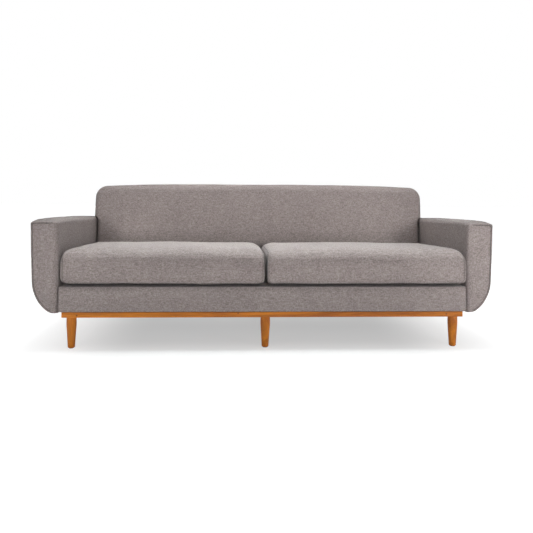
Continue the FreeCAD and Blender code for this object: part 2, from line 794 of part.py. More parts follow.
frame_width = ("-back_frame_half", "back_frame_half")
upper = ("back_frame_top - tack_rail_height", "back_frame_top")
lower = ("deck_top", "deck_top + tack_rail_height")
keep(frame_strip("back_top_rail", *frame_width, *upper, tack_face, rib_face), "back_top_rail")
keep(frame_strip("back_bottom_rail", *frame_width, *lower, tack_face, rib_face), "back_bottom_rail")
BACK_STRAPS = 9
straps(
    "back_webbing",
    BACK_STRAPS,
    "2 * back_frame_half * back_webbing_spacing_share",
    lambda name, low, high: frame_strip(name, low, high, "deck_top", "back_frame_top", frame_face, tack_face),
)
outside_board = padded_body(
    "outside_back_board",
    "YZ",
    (
        (f"{rear_line('frame_bottom')} - {board_face}", "frame_bottom"),
        (f"{rear_line('frame_bottom')} - {board_back}", "frame_bottom"),
        (f"{rear_line('back_frame_top')} - {board_back}", "back_frame_top"),
        (f"{rear_line('back_frame_top')} - {board_face}", "back_frame_top"),
    ),
    *frame_width,
)
keep(outside_board, "outside_back_board")

# Loose seat cushions: a crowned foam core in a sewn cover, round at the front edge


def cushion_section(along, tilt, height, drawn_side, drawn_top, drawn_bottom):
    """One outline of the right cushion, square to its depth, in a plane that leans with the back."""
    left = size("cushion_inside") + drawn_side
    right = size("cushion_outside") - drawn_side
    top = height - drawn_top
    upper = size("cushion_top_radius")
    lower = size("cushion_bottom_radius")
    corners = (
        quarter((right - lower, drawn_bottom + lower), lower, -90),
        quarter((right - upper, top - upper), upper, 0),
        quarter((left + upper, top - upper), upper, 90),
        quarter((left + lower, drawn_bottom + lower), lower, 180),
    )
    steps = (
        (corners[3][2], corners[0][0]),
        corners[0],
        (corners[0][2], corners[1][0]),
        corners[1],
        (corners[1][2], ((left + right) / 2, top + size("cushion_side_crown")), corners[2][0]),
        corners[2],
        (corners[2][2], corners[3][0]),
        corners[3],
    )
    base = size("cushion_base")

    def place(x, up):
        return Vector(x, along + up * math.sin(tilt), base + up * math.cos(tilt))

    return curve_wire(steps, place)


CUSHION_NOSE_STATIONS = 4
CUSHION_TAIL_STATIONS = 3
CUSHION_STATION_SHARES = (0.14, 0.32, 0.5, 0.68, 0.86)


def cushion_form(name):
    """The right seat cushion's solid form, crowned, with drawn-in sides and a round front edge."""
    start = size("front")
    end = size("back_line - cushion_rear_gap")

    def section(along, side, top, bottom):
        share = (along - start) / (end - start)
        swell = math.sin(math.pi * share)
        height = size("cushion_front_height") * (1 - share) + size("cushion_rear_height") * share
        height += size("cushion_crown") * swell
        side += size("cushion_draw") * swell
        return cushion_section(along, back_angle * share, height, side, top, bottom)

    def rounding(count, depth, top, edge):
        return [
            section(
                edge + depth * forward,
                size("cushion_nose_side") * drawn,
                size(top) * drawn,
                size("cushion_nose_bottom") * drawn,
            )
            for drawn, forward in nose_steps(count)
        ]

    nose_depth = size("cushion_nose_depth")
    tail_depth = size("cushion_tail_depth")
    nose = rounding(CUSHION_NOSE_STATIONS, nose_depth, "cushion_nose_top", start)
    tail = rounding(CUSHION_TAIL_STATIONS, -tail_depth, "cushion_tail_top", end)
    run = end - start - nose_depth - tail_depth
    middle = [section(start + nose_depth + run * share, 0, 0, 0) for share in CUSHION_STATION_SHARES]
    return solid_of(name, Part.makeLoft(nose + middle + tail[::-1], True, True))


def cushion_block(name, clearance):
    """The foam core, or the room for it, wrapped by the wadding."""
    low = f"cushion_base + cushion_wadding - {clearance}"
    high = f"cushion_base + cushion_rear_height - cushion_top_wadding + {clearance}"
    front_face = f"front + cushion_wadding - {clearance}"
    rear_face = f"cushion_rear_gap + cushion_wadding - {clearance}"
    corners = (
        (front_face, low),
        (f"{face_line(low)} - ({rear_face})", low),
        (f"{face_line(high)} - ({rear_face})", high),
        (front_face, high),
    )
    x_low = f"cushion_inside + cushion_wadding - {clearance}"
    x_high = f"cushion_outside - cushion_wadding + {clearance}"
    return padded_body(name, "YZ", corners, x_low, x_high)


cushion_room = cushion_block("cushion_core_room", "fit_clearance")
keep_pair(cut_from(cushion_form("cushion_form"), cushion_room, "cushion_cover"), "cushion_cover")
keep_pair(cushion_block("cushion_core", "0"), "cushion_core")

# Every feature has to be sound before anything is written

doc.recompute()
failed = [item.Name for item in doc.Objects if {"Invalid", "Error"} & set(item.State)]
for node in nodes:
    if node.Shape.isNull() or not node.Shape.isValid() or not node.Shape.Solids:
        failed.append(node.Label)
if failed:
    raise RuntimeError(f"unsound pieces: {failed}")

os.makedirs("parts", exist_ok=True)
for node in nodes:
    node.Shape.exportStep(f"parts/{node.Label}.step")
print(f"{len(nodes)} pieces written")
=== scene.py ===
import math

import bmesh
import bpy
import numpy as np
from mathutils import Matrix, Vector, noise
from mathutils.bvhtree import BVHTree
from mathutils.kdtree import KDTree


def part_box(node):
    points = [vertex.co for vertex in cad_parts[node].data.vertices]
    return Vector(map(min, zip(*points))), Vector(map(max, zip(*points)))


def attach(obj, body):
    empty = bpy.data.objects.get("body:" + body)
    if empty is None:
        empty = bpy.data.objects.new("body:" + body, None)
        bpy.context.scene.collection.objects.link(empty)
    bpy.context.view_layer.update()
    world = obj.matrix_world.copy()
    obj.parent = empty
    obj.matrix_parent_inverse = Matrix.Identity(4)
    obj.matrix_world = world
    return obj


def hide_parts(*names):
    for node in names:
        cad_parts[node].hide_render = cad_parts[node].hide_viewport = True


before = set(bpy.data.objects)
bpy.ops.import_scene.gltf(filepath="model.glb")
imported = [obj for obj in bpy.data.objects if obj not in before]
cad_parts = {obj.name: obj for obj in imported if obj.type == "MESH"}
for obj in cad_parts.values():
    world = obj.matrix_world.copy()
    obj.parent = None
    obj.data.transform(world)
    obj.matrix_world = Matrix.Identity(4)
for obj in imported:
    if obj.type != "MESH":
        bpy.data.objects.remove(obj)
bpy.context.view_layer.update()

# Camera
# It stands a little left of the middle, 2.53 m before the arms and 0.76 m up, level and turned
# a little to the right. Its shift gives the photograph's framing, with the sofa above the middle.


def added(name, data):
    """An object in the scene for its data."""
    thing = bpy.data.objects.new(name, data)
    bpy.context.scene.collection.objects.link(thing)
    return thing


camera_data = bpy.data.cameras.new("camera")
camera_data.sensor_width = 36
camera_data.lens = 34.92
camera_data.shift_x = 0.0120
camera_data.shift_y = -0.1377
camera = added("camera", camera_data)
camera.matrix_world = (
    Matrix.Translation((-0.1485, -2.968, 0.7625))
    @ Matrix.Rotation(-0.046, 4, "Z")
    @ Matrix.Rotation(math.pi / 2, 4, "X")
    @ Matrix.Rotation(0.008, 4, "Z")
)
bpy.context.scene.camera = camera

# Plinth
# Five rails of solid wood, planed, with softened edges and a satin honey stain. The front and
# rear rails run through; small dark knots show in the front one.

NOISE = "ShaderNodeTexNoise"


def new_material(name, colour=(0.5, 0.5, 0.5), **sockets):
    """A material and its Principled BSDF, with sizes and colours that are the same all over."""
    material = bpy.data.materials.new(name)
    material.use_nodes = True
    material.diffuse_color = (*colour, 1)
    shader = material.node_tree.nodes["Principled BSDF"]
    shader.inputs["Base Color"].default_value = (*colour, 1)
    for key, value in sockets.items():
        shader.inputs[key.replace("_", " ")].default_value = value
    return material, shader


def node_in(tree, kind, inputs=(), **settings):
    """One node, with its settings, and its inputs linked or set in order of (socket, source)."""
    node = tree.nodes.new(kind)
    for key, value in settings.items():
        setattr(node, key, value)
    for socket, source in inputs:
        if isinstance(source, bpy.types.NodeSocket):
            tree.links.new(source, node.inputs[socket])
        else:
            node.inputs[socket].default_value = source
    return node


def sums(tree, operation, *values):
    """A Math node's result."""
    return node_in(tree, "ShaderNodeMath", enumerate(values), operation=operation).outputs[0]


def vectors(tree, operation, *values):
    """A Vector Math node's result."""
    node = node_in(tree, "ShaderNodeVectorMath", enumerate(values), operation=operation)
    return node.outputs["Value" if operation in ("LENGTH", "DISTANCE") else "Vector"]


def spanned(tree, value, low, high, least=0.0, kind="LINEAR"):
    """Where a value lies between two limits, from the least result up to 1."""
    inputs = [("Value", value), ("From Min", low), ("From Max", high), ("To Min", least)]
    return node_in(tree, "ShaderNodeMapRange", inputs, interpolation_type=kind).outputs[0]


def blend(tree, share, first, second):
    """Two colours mixed by a share."""
    inputs = [(0, share), (6, first), (7, second)]
    return node_in(tree, "ShaderNodeMix", inputs, data_type="RGBA", clamp_factor=True).outputs[2]


def ramp(tree, source, stops):
    """A colour ramp over (place, colour) stops."""
    node = node_in(tree, "ShaderNodeValToRGB", [("Fac", source)])
    for element, (place, colour) in zip(node.color_ramp.elements, stops):
        element.position = place
        element.color = (*colour, 1)
    return node.outputs["Color"]


def new_group(name, inputs, outputs):
    """A shader node group with its named sockets, and its two end nodes."""
    tree = bpy.data.node_groups.new(name, "ShaderNodeTree")
    kinds = {"colour": "NodeSocketColor", "number": "NodeSocketFloat", "vector": "NodeSocketVector"}
    for way, sockets in (("INPUT", inputs), ("OUTPUT", outputs)):
        for socket, kind in sockets.items():
            tree.interface.new_socket(socket, in_out=way, socket_type=kinds[kind])
    return tree, tree.nodes.new("NodeGroupInput"), tree.nodes.new("NodeGroupOutput")


def bump_into(material, shader, height, strength, distance):
    """Relief from a height, straight into the shader's Normal."""
    inputs = [("Height", height), ("Strength", strength), ("Distance", distance)]
    bump = node_in(material.node_tree, "ShaderNodeBump", inputs)
    material.node_tree.links.new(bump.outputs["Normal"], shader.inputs["Normal"])


def coordinates(material, turn=(0, 0, 0), place=(0, 0, 0)):
    """Object coordinates, turned and moved for this material."""
    tree = material.node_tree
    source = tree.nodes.new("ShaderNodeTexCoord").outputs["Object"]
    inputs = [("Vector", source), ("Rotation", turn), ("Location", place)]
    return node_in(tree, "ShaderNodeMapping", inputs).outputs["Vector"]


def wood_grain_group():
    """Grain that runs along the first axis: broad figure, fine fibres and short dark pores."""
    inputs = {"Vector": "vector", "Light": "colour", "Dark": "colour"}
    tree, start, end = new_group("wood grain", inputs, {"Color": "colour", "Height": "number"})
    patterns = []
    for stretch, look in (
        ((1.6, 22, 22), {"Detail": 5, "Roughness": 0.6, "Distortion": 0.5}),
        ((18, 520, 520), {"Detail": 3, "Roughness": 0.6}),
        ((60, 900, 900), {"Detail": 1}),
    ):
        stretched = vectors(tree, "MULTIPLY", start.outputs["Vector"], stretch)
        inputs = [("Vector", stretched), ("Scale", 1.0), *look.items()]
        patterns.append(node_in(tree, NOISE, inputs).outputs[0])
    figure, fibres, pores = patterns
    pore = spanned(tree, pores, 0.66, 0.74)
    shade = sums(tree, "MULTIPLY_ADD", fibres, 0.35, sums(tree, "SUBTRACT", figure, 0.05))
    darkness = sums(tree, "MULTIPLY_ADD", pore, 0.3, spanned(tree, shade, 0.48, 0.80))
    colour = blend(tree, darkness, start.outputs["Light"], start.outputs["Dark"])
    tree.links.new(colour, end.inputs["Color"])
    tree.links.new(sums(tree, "MULTIPLY_ADD", pore, -0.6, fibres), end.inputs["Height"])
    return tree


wood_grain = wood_grain_group()


def stained_wood(name, light, dark, turn=(0, 0, 0), place=(0, 0, 0), knots=()):
    """Stained and lacquered wood, with its grain along X before it is turned."""
    gloss = {"Roughness": 0.45, "Coat_Weight": 0.08, "Coat_Roughness": 0.3, "Specular_IOR_Level": 0.35}
    material, shader = new_material(name, light, **gloss)
    tree = material.node_tree
    vector = coordinates(material, turn, place)
    inputs = [("Vector", vector), ("Light", (*light, 1)), ("Dark", (*dark, 1))]
    grain = node_in(tree, "ShaderNodeGroup", inputs, node_tree=wood_grain)
    colour = grain.outputs["Color"]
    plain = tree.nodes.new("ShaderNodeTexCoord").outputs["Object"]
    for spot, radius in knots:
        away = vectors(tree, "DISTANCE", plain, spot)
        mask = spanned(tree, away, radius, radius * 0.35, kind="SMOOTHSTEP")
        core = (*(value * 0.25 for value in dark), 1)
        colour = blend(tree, sums(tree, "MULTIPLY", mask, 0.75), colour, core)
    tree.links.new(colour, shader.inputs["Base Color"])
    bump_into(material, shader, grain.outputs["Height"], 0.12, 0.0004)
    return material


def finish_node(node, material):
    """Give a solid of the frame its material."""
    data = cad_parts[node].data
    data.materials.clear()
    data.materials.append(material)


HONEY_LIGHT = (0.74, 0.240, 0.013)
HONEY_DARK = (0.33, 0.084, 0.004)
KNOTS = ((-0.915, 0.163, 0.006), (-0.135, 0.172, 0.005), (0.905, 0.166, 0.006))
plinth_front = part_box("plinth_front_rail")[0].y
knots = [((x, plinth_front, z), radius) for x, z, radius in KNOTS]
plinth_long = stained_wood("plinth_wood", HONEY_LIGHT, HONEY_DARK, knots=knots)
across = (0, 0, math.pi / 2)
plinth_cross = stained_wood("plinth_cross_wood", HONEY_LIGHT, HONEY_DARK, turn=across)
for side in ("front", "rear"):
    finish_node(f"plinth_{side}_rail", plinth_long)
for side in ("left", "centre", "right"):
    finish_node(f"plinth_{side}_rail", plinth_cross)

# Legs
# Six legs turned from the same wood: a narrow foot, a long taper to a belly just under the plinth,
# and a slightly smaller top. Each stands on a thin nylon glide.


def placed(name, mesh):
    """An object at the origin for a mesh, shaded smooth, with its faces outwards."""
    form = bmesh.new()
    form.from_mesh(mesh)
    bmesh.ops.recalc_face_normals(form, faces=form.faces)
    form.to_mesh(mesh)
    form.free()
    mesh.polygons.foreach_set("use_smooth", [True] * len(mesh.polygons))
    mesh.update()
    return added(name, mesh)


def closed_loft(name, rings):
    """A closed mesh through rings of as many points each, its ends closed to a point."""
    count = len(rings[0])
    points = np.concatenate([*rings, [np.mean(rings[0], axis=0)], [np.mean(rings[-1], axis=0)]])
    last = (len(rings) - 1) * count
    faces = []
    for low in range(0, last, count):
        for index in range(count):
            following = (index + 1) % count
            upper, beside = low + count + index, low + count + following
            faces.append((low + index, low + following, beside, upper))
    for index in range(count):
        following = (index + 1) % count
        faces.append((following, index, len(points) - 2))
        faces.append((last + index, last + following, len(points) - 1))
    mesh = bpy.data.meshes.new(name)
    mesh.from_pydata(points.tolist(), [], faces)
    return placed(name, mesh)


LEG_PROFILE = (
    ((0.0120, 0.0030), (0.0155, 0.0031), (0.0166, 0.0042), (0.0171, 0.0062))
    + ((0.0185, 0.0300), (0.0199, 0.0520), (0.0212, 0.0740), (0.0225, 0.0940))
    + ((0.0235, 0.1080), (0.0239, 0.1160), (0.0240, 0.1220), (0.0239, 0.1300))
    + ((0.0235, 0.1420), (0.0231, 0.1500), (0.0226, 0.1516), (0.0215, 0.1520))
)
LEG_LIGHT = (0.67, 0.212, 0.011)
LEG_DARK = (0.40, 0.108, 0.0055)
LEG_SIDES = 48
LEG_COLUMNS = (("left", -0.947), ("centre", 0.0), ("right", 0.947))
turns = np.arange(LEG_SIDES) * 2 * math.pi / LEG_SIDES
circle = np.stack([np.cos(turns), np.sin(turns)], axis=1)
for row, (row_name, y) in enumerate((("front", -0.404), ("rear", 0.378))):
    for column, (side, x) in enumerate(LEG_COLUMNS):
        rings = []
        for radius, z in LEG_PROFILE:
            rings.append(np.column_stack([circle * radius + (x, y), np.full(LEG_SIDES, z)]))
        leg = closed_loft(f"{row_name}_{side}_leg", rings)
        turn = (0, math.pi / 2, 0.6 * column + 1.1 * row)
        place = (0.3 * row + 0.11 * column, 0.07 * column, 0.05 * row)
        leg.data.materials.append(stained_wood(f"{leg.name}_wood", LEG_LIGHT, LEG_DARK, turn, place))
        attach(leg, "sofa")
        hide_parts(f"{row_name}_legs")

glide_nylon, shader = new_material("glide_nylon", (0.05, 0.045, 0.04), Roughness=0.55)
inputs = [("Vector", coordinates(glide_nylon)), ("Scale", 900.0)]
speckle = node_in(glide_nylon.node_tree, NOISE, inputs)
bump_into(glide_nylon, shader, speckle.outputs[0], 0.2, 0.0002)
finish_node("leg_glides", glide_nylon)

# Frame
# Sawn softwood rails, stretchers, ribs and formers, with bent hardboard round the arms and behind
# the back, and woven elastic webbing. All of it is out of sight under cloth.

TWILL = "ShaderNodeTexWave"


def patterned(name, colour, kind, look, stops, strength, depth, **sockets):
    """A material whose colour and relief both follow one texture."""
    material, shader = new_material(name, colour, **sockets)
    tree = material.node_tree
    settings = {"bands_direction": "DIAGONAL"} if kind == TWILL else {}
    texture = node_in(tree, kind, [("Vector", coordinates(material)), *look.items()], **settings)
    value = texture.outputs["Fac"]
    tree.links.new(ramp(tree, value, stops), shader.inputs["Base Color"])
    bump_into(material, shader, value, strength, depth)
    return material


sawn_wood = stained_wood("sawn_softwood", (0.66, 0.50, 0.30), (0.48, 0.33, 0.17))
hardboard = stained_wood("hardboard", (0.24, 0.15, 0.085), (0.17, 0.10, 0.055))
look = {"Scale": 160.0, "Distortion": 0.4, "Detail": 1.0}
stripes = ((0.3, (0.07, 0.05, 0.035)), (0.8, (0.16, 0.12, 0.08)))
webbing = patterned("webbing", (0.10, 0.075, 0.05), TWILL, look, stripes, 0.4, 0.0005, Roughness=0.85)
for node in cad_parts:
    if node.endswith("_webbing"):
        finish_node(node, webbing)
    elif node.endswith("_board"):
        finish_node(node, hardboard)
    elif node.startswith(("seat_", "back_", "left_arm_", "right_arm_", "left_seat", "right_seat")):
        finish_node(node, sawn_wood)

# Dust cover
# One sheet of thin black non-woven cloth that keeps dust out of the seat. It is cut to the floor
# frame and drawn flat under it.

look = {"Scale": 420.0, "Detail": 4.0, "Distortion": 2.0}
felted = ((0.35, (0.008, 0.008, 0.009)), (0.7, (0.028, 0.028, 0.03)))
black = (0.012, 0.012, 0.013)
dust_cloth = patterned("dust_cloth", black, NOISE, look, felted, 0.3, 0.0003, Roughness=0.95)
finish_node("dust_cover", dust_cloth)

# Tweed
# The cloth of every upholstered face: a plain weave of heathered yarns in warm grey, with light
# and dark slubs that run along the yarns.


def weave_group():
    """Relief of a plain weave over two directions, one yarn passing over the next in turn."""
    inputs = {"Across": "number", "Along": "number"}
    tree, start, end = new_group("plain weave", inputs, {"Height": "number"})
    ways = [start.outputs["Across"], start.outputs["Along"]]
    square = sums(tree, "ADD", *(sums(tree, "FLOOR", way) for way in ways))
    pairs = sums(tree, "FLOOR", sums(tree, "MULTIPLY", square, 0.5))
    over = sums(tree, "ABSOLUTE", sums(tree, "MULTIPLY_ADD", pairs, -2.0, square))
    rounds = [sums(tree, "SINE", sums(tree, "MULTIPLY", way, math.pi)) for way in ways]
    warp, weft = (sums(tree, "ABSOLUTE", yarn) for yarn in rounds)
    lower = sums(tree, "MULTIPLY", weft, sums(tree, "SUBTRACT", 1.0, over))
    tree.links.new(sums(tree, "MULTIPLY_ADD", warp, over, lower), end.inputs["Height"])
    return tree


plain_weave = weave_group()
YARN_PITCH = 0.0022
YARN_WOBBLE = 0.0012
SLUBS = (
    ((0.22, 1.0, 1.0), 420.0, 0.30),
    ((0.20, 1.0, 1.0), 200.0, 0.16),
    ((1.0, 1.0, 0.22), 380.0, 0.28),
    ((1.0, 0.22, 1.0), 400.0, 0.26),
)


def tweed_group():
    """Heathered colour and woven relief on faces of any direction."""
    inputs = {"Vector": "vector", "Light": "colour", "Middle": "colour", "Dark": "colour"}
    tree, start, end = new_group("tweed", inputs, {"Color": "colour", "Height": "number"})
    vector, light, middle, dark = (start.outputs[name] for name in inputs)
    wobble = node_in(tree, NOISE, [("Vector", vector), ("Scale", 60.0), ("Detail", 2.0)])
    spot = vectors(tree, "MULTIPLY_ADD", wobble.outputs["Color"], (YARN_WOBBLE,) * 3, vector)
    yarns = vectors(tree, "MULTIPLY", spot, (1 / YARN_PITCH,) * 3)
    parts = node_in(tree, "ShaderNodeSeparateXYZ", [(0, yarns)])
    normal = tree.nodes.new("ShaderNodeNewGeometry").outputs["Normal"]
    facing = node_in(tree, "ShaderNodeSeparateXYZ", [(0, normal)])
    height = 0.0
    for across, along, square in ("YZX", "XZY", "XYZ"):
        inputs = [("Across", parts.outputs[across]), ("Along", parts.outputs[along])]
        weave = node_in(tree, "ShaderNodeGroup", inputs, node_tree=plain_weave)
        weight = sums(tree, "POWER", sums(tree, "ABSOLUTE", facing.outputs[square]), 2.0)
        height = sums(tree, "MULTIPLY_ADD", weave.outputs["Height"], weight, height)
    fleck = 0.0
    for stretch, scale, share in SLUBS:
        stretched = vectors(tree, "MULTIPLY", spot, stretch)
        inputs = [("Vector", stretched), ("Scale", scale), ("Detail", 2.0), ("Roughness", 0.6)]
        fleck = sums(tree, "MULTIPLY_ADD", node_in(tree, NOISE, inputs).outputs[0], share, fleck)
    broad = node_in(tree, NOISE, [("Vector", vector), ("Scale", 5.0), ("Detail", 2.0)]).outputs[0]
    # A broad tone that differs at random, and painted shade: the weave's lower yarns are darker.
    for value, middling, share in ((broad, 0.5, 0.05), (height, 0.6, 0.03)):
        tone_and_weave_shade = sums(tree, "SUBTRACT", value, middling)
        fleck = sums(tree, "MULTIPLY_ADD", tone_and_weave_shade, share, fleck)
    below = blend(tree, spanned(tree, fleck, 0.41, 0.50), dark, middle)
    above = blend(tree, spanned(tree, fleck, 0.50, 0.59), below, light)
    tree.links.new(above, end.inputs["Color"])
    tree.links.new(sums(tree, "MULTIPLY_ADD", fleck, 0.6, height), end.inputs["Height"])
    return tree


tweed_tree = tweed_group()


def tweed_in(material, shades):
    """The tweed's colour and height in a material, for its light, middle and dark yarns."""
    inputs = [("Vector", coordinates(material))]
    inputs += [(key, (*shade, 1)) for key, shade in zip(("Light", "Middle", "Dark"), shades)]
    group = node_in(material.node_tree, "ShaderNodeGroup", inputs, node_tree=tweed_tree)
    return group.outputs["Color"], group.outputs["Height"]


TWEED_SHADES = ((0.48, 0.418, 0.396), (0.335, 0.283, 0.271), (0.195, 0.160, 0.154))
cloth = {"Roughness": 0.92, "Sheen_Weight": 0.12, "Sheen_Roughness": 0.6, "Specular_IOR_Level": 0.25}
tweed, shader = new_material("tweed", TWEED_SHADES[1], **cloth)
tree = tweed.node_tree
colour, height = tweed_in(tweed, TWEED_SHADES)
# Painted shade: the 'seam' attribute mixes the tweed towards a near-black in seams and gaps and where
# other parts shade it.
seam = tree.nodes.new("ShaderNodeAttribute")
seam.attribute_name = "seam"
painted_shade_colour = (*(value * 0.12 for value in TWEED_SHADES[2]), 1)
colour = blend(tree, sums(tree, "MULTIPLY", seam.outputs["Fac"], 0.96), colour, painted_shade_colour)
tree.links.new(colour, shader.inputs["Base Color"])
bump_into(tweed, shader, height, 0.55, 0.0009)


def uneven(points, size, amount, seed):
    """Gentle unevenness of padding, the same at each run."""
    offset = Vector((seed * 3.7, seed * 1.3, seed * 5.1))
    return np.array([noise.noise(Vector(point) / size + offset) for point in points]) * amount


def with_ends(values, count):
    """Values for every point of a closed loft, its end points taking those of their rings."""
    values = np.asarray(values).ravel()
    return np.concatenate([values, [values[:count].mean(), values[-count:].mean()]])


def closed_in(ring, centre, shares):
    """Rings from a ring inward to a point, for the flat end of a form."""
    centre = np.array(centre)
    return [centre + (ring - centre) * share for share in shares]


def points_of(mesh, key="co"):
    """The mesh's points, or their normals, one to a row."""
    values = np.zeros(len(mesh.vertices) * 3)
    mesh.vertices.foreach_get(key, values)
    return values.reshape(-1, 3)


def pushed(piece, amounts):
    """Move each point of a piece along its normal."""
    mesh = piece.data
    moved = points_of(mesh) + points_of(mesh, "normal") * np.asarray(amounts)[:, None]
    mesh.vertices.foreach_set("co", moved.ravel())
    mesh.update()


def bell(distance, width):
    """A bell curve: 1 where the distance is 0, and falling away over the width."""
    return np.exp(-((distance / width) ** 2))


SEAM_SWELL = 0.0008
SEAM_GROOVE = 0.0026 + SEAM_SWELL


def groove(distance):
    """The profile of a sewn seam: a narrow groove with the cloth swelling softly beside it."""
    return SEAM_SWELL * bell(distance, 0.008) - SEAM_GROOVE * bell(distance, 0.0021)


def clamped(values):
    """Values held between 0 and 1."""
    return np.clip(values, 0, 1)


def shaded(piece, values):
    """Store a painted shade for each point of a piece, darkening the cloth in seams and gaps and where
    other parts shade it.
    """
    layer = piece.data.attributes.new("seam", "FLOAT", "POINT")
    layer.data.foreach_set("value", clamped(values))


def painted_seam_shade(distance, width=0.0028):
    """The painted shade of the cloth at a distance from a seam."""
    return 0.68 * bell(distance, width)


def soft_step(shares):
    """A soft step from 0 to 1 for each share."""
    shares = clamped(shares)
    return shares * shares * (3 - 2 * shares)


def quarter_turn(steps, first=0):
    """The angles of a quarter turn in even steps."""
    return [math.pi / 2 * step / steps for step in range(first, steps + 1)]


# Deck
# A flat pad of felt in plain dark lining cloth, with rounded edges and corners. It lies over the
# webbing, under the loose cushions.

LINING_SHADES = ((0.16, 0.145, 0.14), (0.12, 0.108, 0.103), (0.085, 0.075, 0.072))
DECK_EDGE = 0.008
CORNERS = ((1, 1), (-1, 1), (-1, -1), (1, -1))
CORNER_STEPS = 5
RUN_PARTS = 40

lining, shader = new_material("deck_lining", (0.11, 0.10, 0.095), Roughness=0.9)
threads, relief = tweed_in(lining, LINING_SHADES)
lining.node_tree.links.new(threads, shader.inputs["Base Color"])
bump_into(lining, shader, relief, 0.4, 0.0006)


def slab_ring(low, high, inward, level):
    """A ring round a slab with rounded corners, drawn inward, its straight runs divided alike."""
    centre = (np.array(low[:2]) + np.array(high[:2])) / 2
    reach = (np.array(high[:2]) - np.array(low[:2])) / 2 - inward
    radius = min(max(DECK_EDGE - inward, 0.0005), *reach)
    ring = []
    for corner, signs in enumerate(CORNERS):
        middle = centre + (reach - radius) * signs
        for step in range(CORNER_STEPS + 1):
            angle = math.pi / 2 * (corner + step / CORNER_STEPS)
            turned = radius * np.array((math.cos(angle), math.sin(angle)))
            ring.append(np.array((*(middle + turned), level)))
    dense = []
    for index, point in enumerate(ring):
        following = ring[(index + 1) % len(ring)]
        parts = RUN_PARTS if index % (CORNER_STEPS + 1) == CORNER_STEPS else 1
        dense += [point + (following - point) * (part / parts) for part in range(parts)]
    return np.array(dense)


low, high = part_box("deck_pad")
inside = [0.0005 + 0.05 * step for step in range(6)]
profile = [(inward, low.z + 0.0006) for inward in inside[::-1]]
profile += [(0.0, low.z + 0.003), (0.0, high.z - 0.006), (0.0012, high.z - 0.003)]
profile += [(0.004, high.z - 0.001)] + [(inward + 0.007, high.z - 0.0003) for inward in inside]
deck = closed_loft("deck_cloth", [slab_ring(low, high, *place) for place in profile])
deck.data.materials.append(lining)
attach(deck, "sofa")
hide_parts("deck_pad")

# Front panel
# Tweed over thin padding before the front rail. Its top rolls over the rail and runs in under the
# cushions; its ends turn in beside the arms.

PANEL_PROUD = 0.0085
PANEL_DEPTH = 0.015
PANEL_SWELL = 0.0030
PANEL_END = 0.010
PANEL_ROLL = 0.013
HEM_RADIUS = 0.0015
low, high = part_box("seat_front_panel")
low.x -= PANEL_PROUD
high.x += PANEL_PROUD
hem = low.z + 0.0025
lip_rear = low.y + 0.110
lip_bottom = high.z - 0.018
panel_rear = low.y + PANEL_DEPTH


def panel_section(drawn):
    """The panel's outline from below the rail, up its face, over the roll and back along the lip."""
    face = low.y + drawn
    outline = [(panel_rear, hem), (face + 0.006, hem), (face + HEM_RADIUS, hem + HEM_RADIUS)]
    face_low = hem + 0.0045
    face_high = high.z - 0.016
    for share in np.linspace(0, 1, 24):
        swell = PANEL_SWELL * math.sin(math.pi * share)
        outline.append((face - swell, face_low + (face_high - face_low) * share))
    for angle in quarter_turn(11, 1):
        depth = face + (PANEL_ROLL - drawn) * (1 - math.cos(angle))
        rise = (PANEL_ROLL - 0.3 * drawn) * math.sin(angle)
        outline.append((depth, high.z - 0.001 - PANEL_ROLL + rise))
    roll_rear = low.y + PANEL_ROLL
    for share in np.linspace(0.05, 1, 12):
        depth = roll_rear + (lip_rear - roll_rear) * share
        outline.append((depth, high.z - 0.3 * drawn - 0.0004 * share))
    outline += [(lip_rear, lip_bottom), (panel_rear + 0.002, lip_bottom)]
    outline.append((panel_rear, lip_bottom - 0.002))
    for share in np.linspace(0.1, 0.95, 8):
        outline.append((panel_rear, lip_bottom - (lip_bottom - hem) * share))
    return np.array(outline)


width = high.x - low.x
stations = []
for angle in quarter_turn(8):
    stations.append((PANEL_END * (1 - math.cos(angle)), 0.011 * (1 - math.sin(angle))))
run = np.linspace(PANEL_END + 0.004, width - PANEL_END - 0.004, 130)
far_stations = [(width - away, drawn) for away, drawn in stations[::-1]]
rings = []
for away, drawn in stations + [(x, 0.0) for x in run] + far_stations:
    section = panel_section(drawn)
    rings.append(np.column_stack([np.full(len(section), low.x + away), section]))
panel = closed_loft("front_panel_cloth", rings)
places = np.concatenate(rings)
x, y, z = places.T
amounts = uneven(places, 0.22, 0.0016, 1) + uneven(places, 0.05, 0.0005, 2)
free = clamped((0.303 - z) / 0.01) * clamped((z - 0.18) / 0.01)
pushed(panel, with_ends(amounts * free, len(rings[0])))
# Painted shade: the roll and the lip behind it are darkened where the cushions overhang them, and the
# top of the face just below the roll a little.
painted_shade_on_lip = clamped((y - low.y - 0.007) / 0.005) * clamped((low.y + 0.050 - y) / 0.03)
painted_shade_under_roll = 0.18 * soft_step((z - 0.270) / 0.026) * (y < low.y + 0.012)
shaded(panel, with_ends(np.maximum(painted_shade_on_lip, painted_shade_under_roll), len(rings[0])))
panel.data.materials.append(tweed)
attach(panel, "sofa")
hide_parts("seat_front_panel")

# Arms
# Padded boxes whose outside curves under like a boat's side. The tweed is cut in panels: one for
# the front, sewn to the others about 5 mm inside its edge, and a seam along the outer top edge.

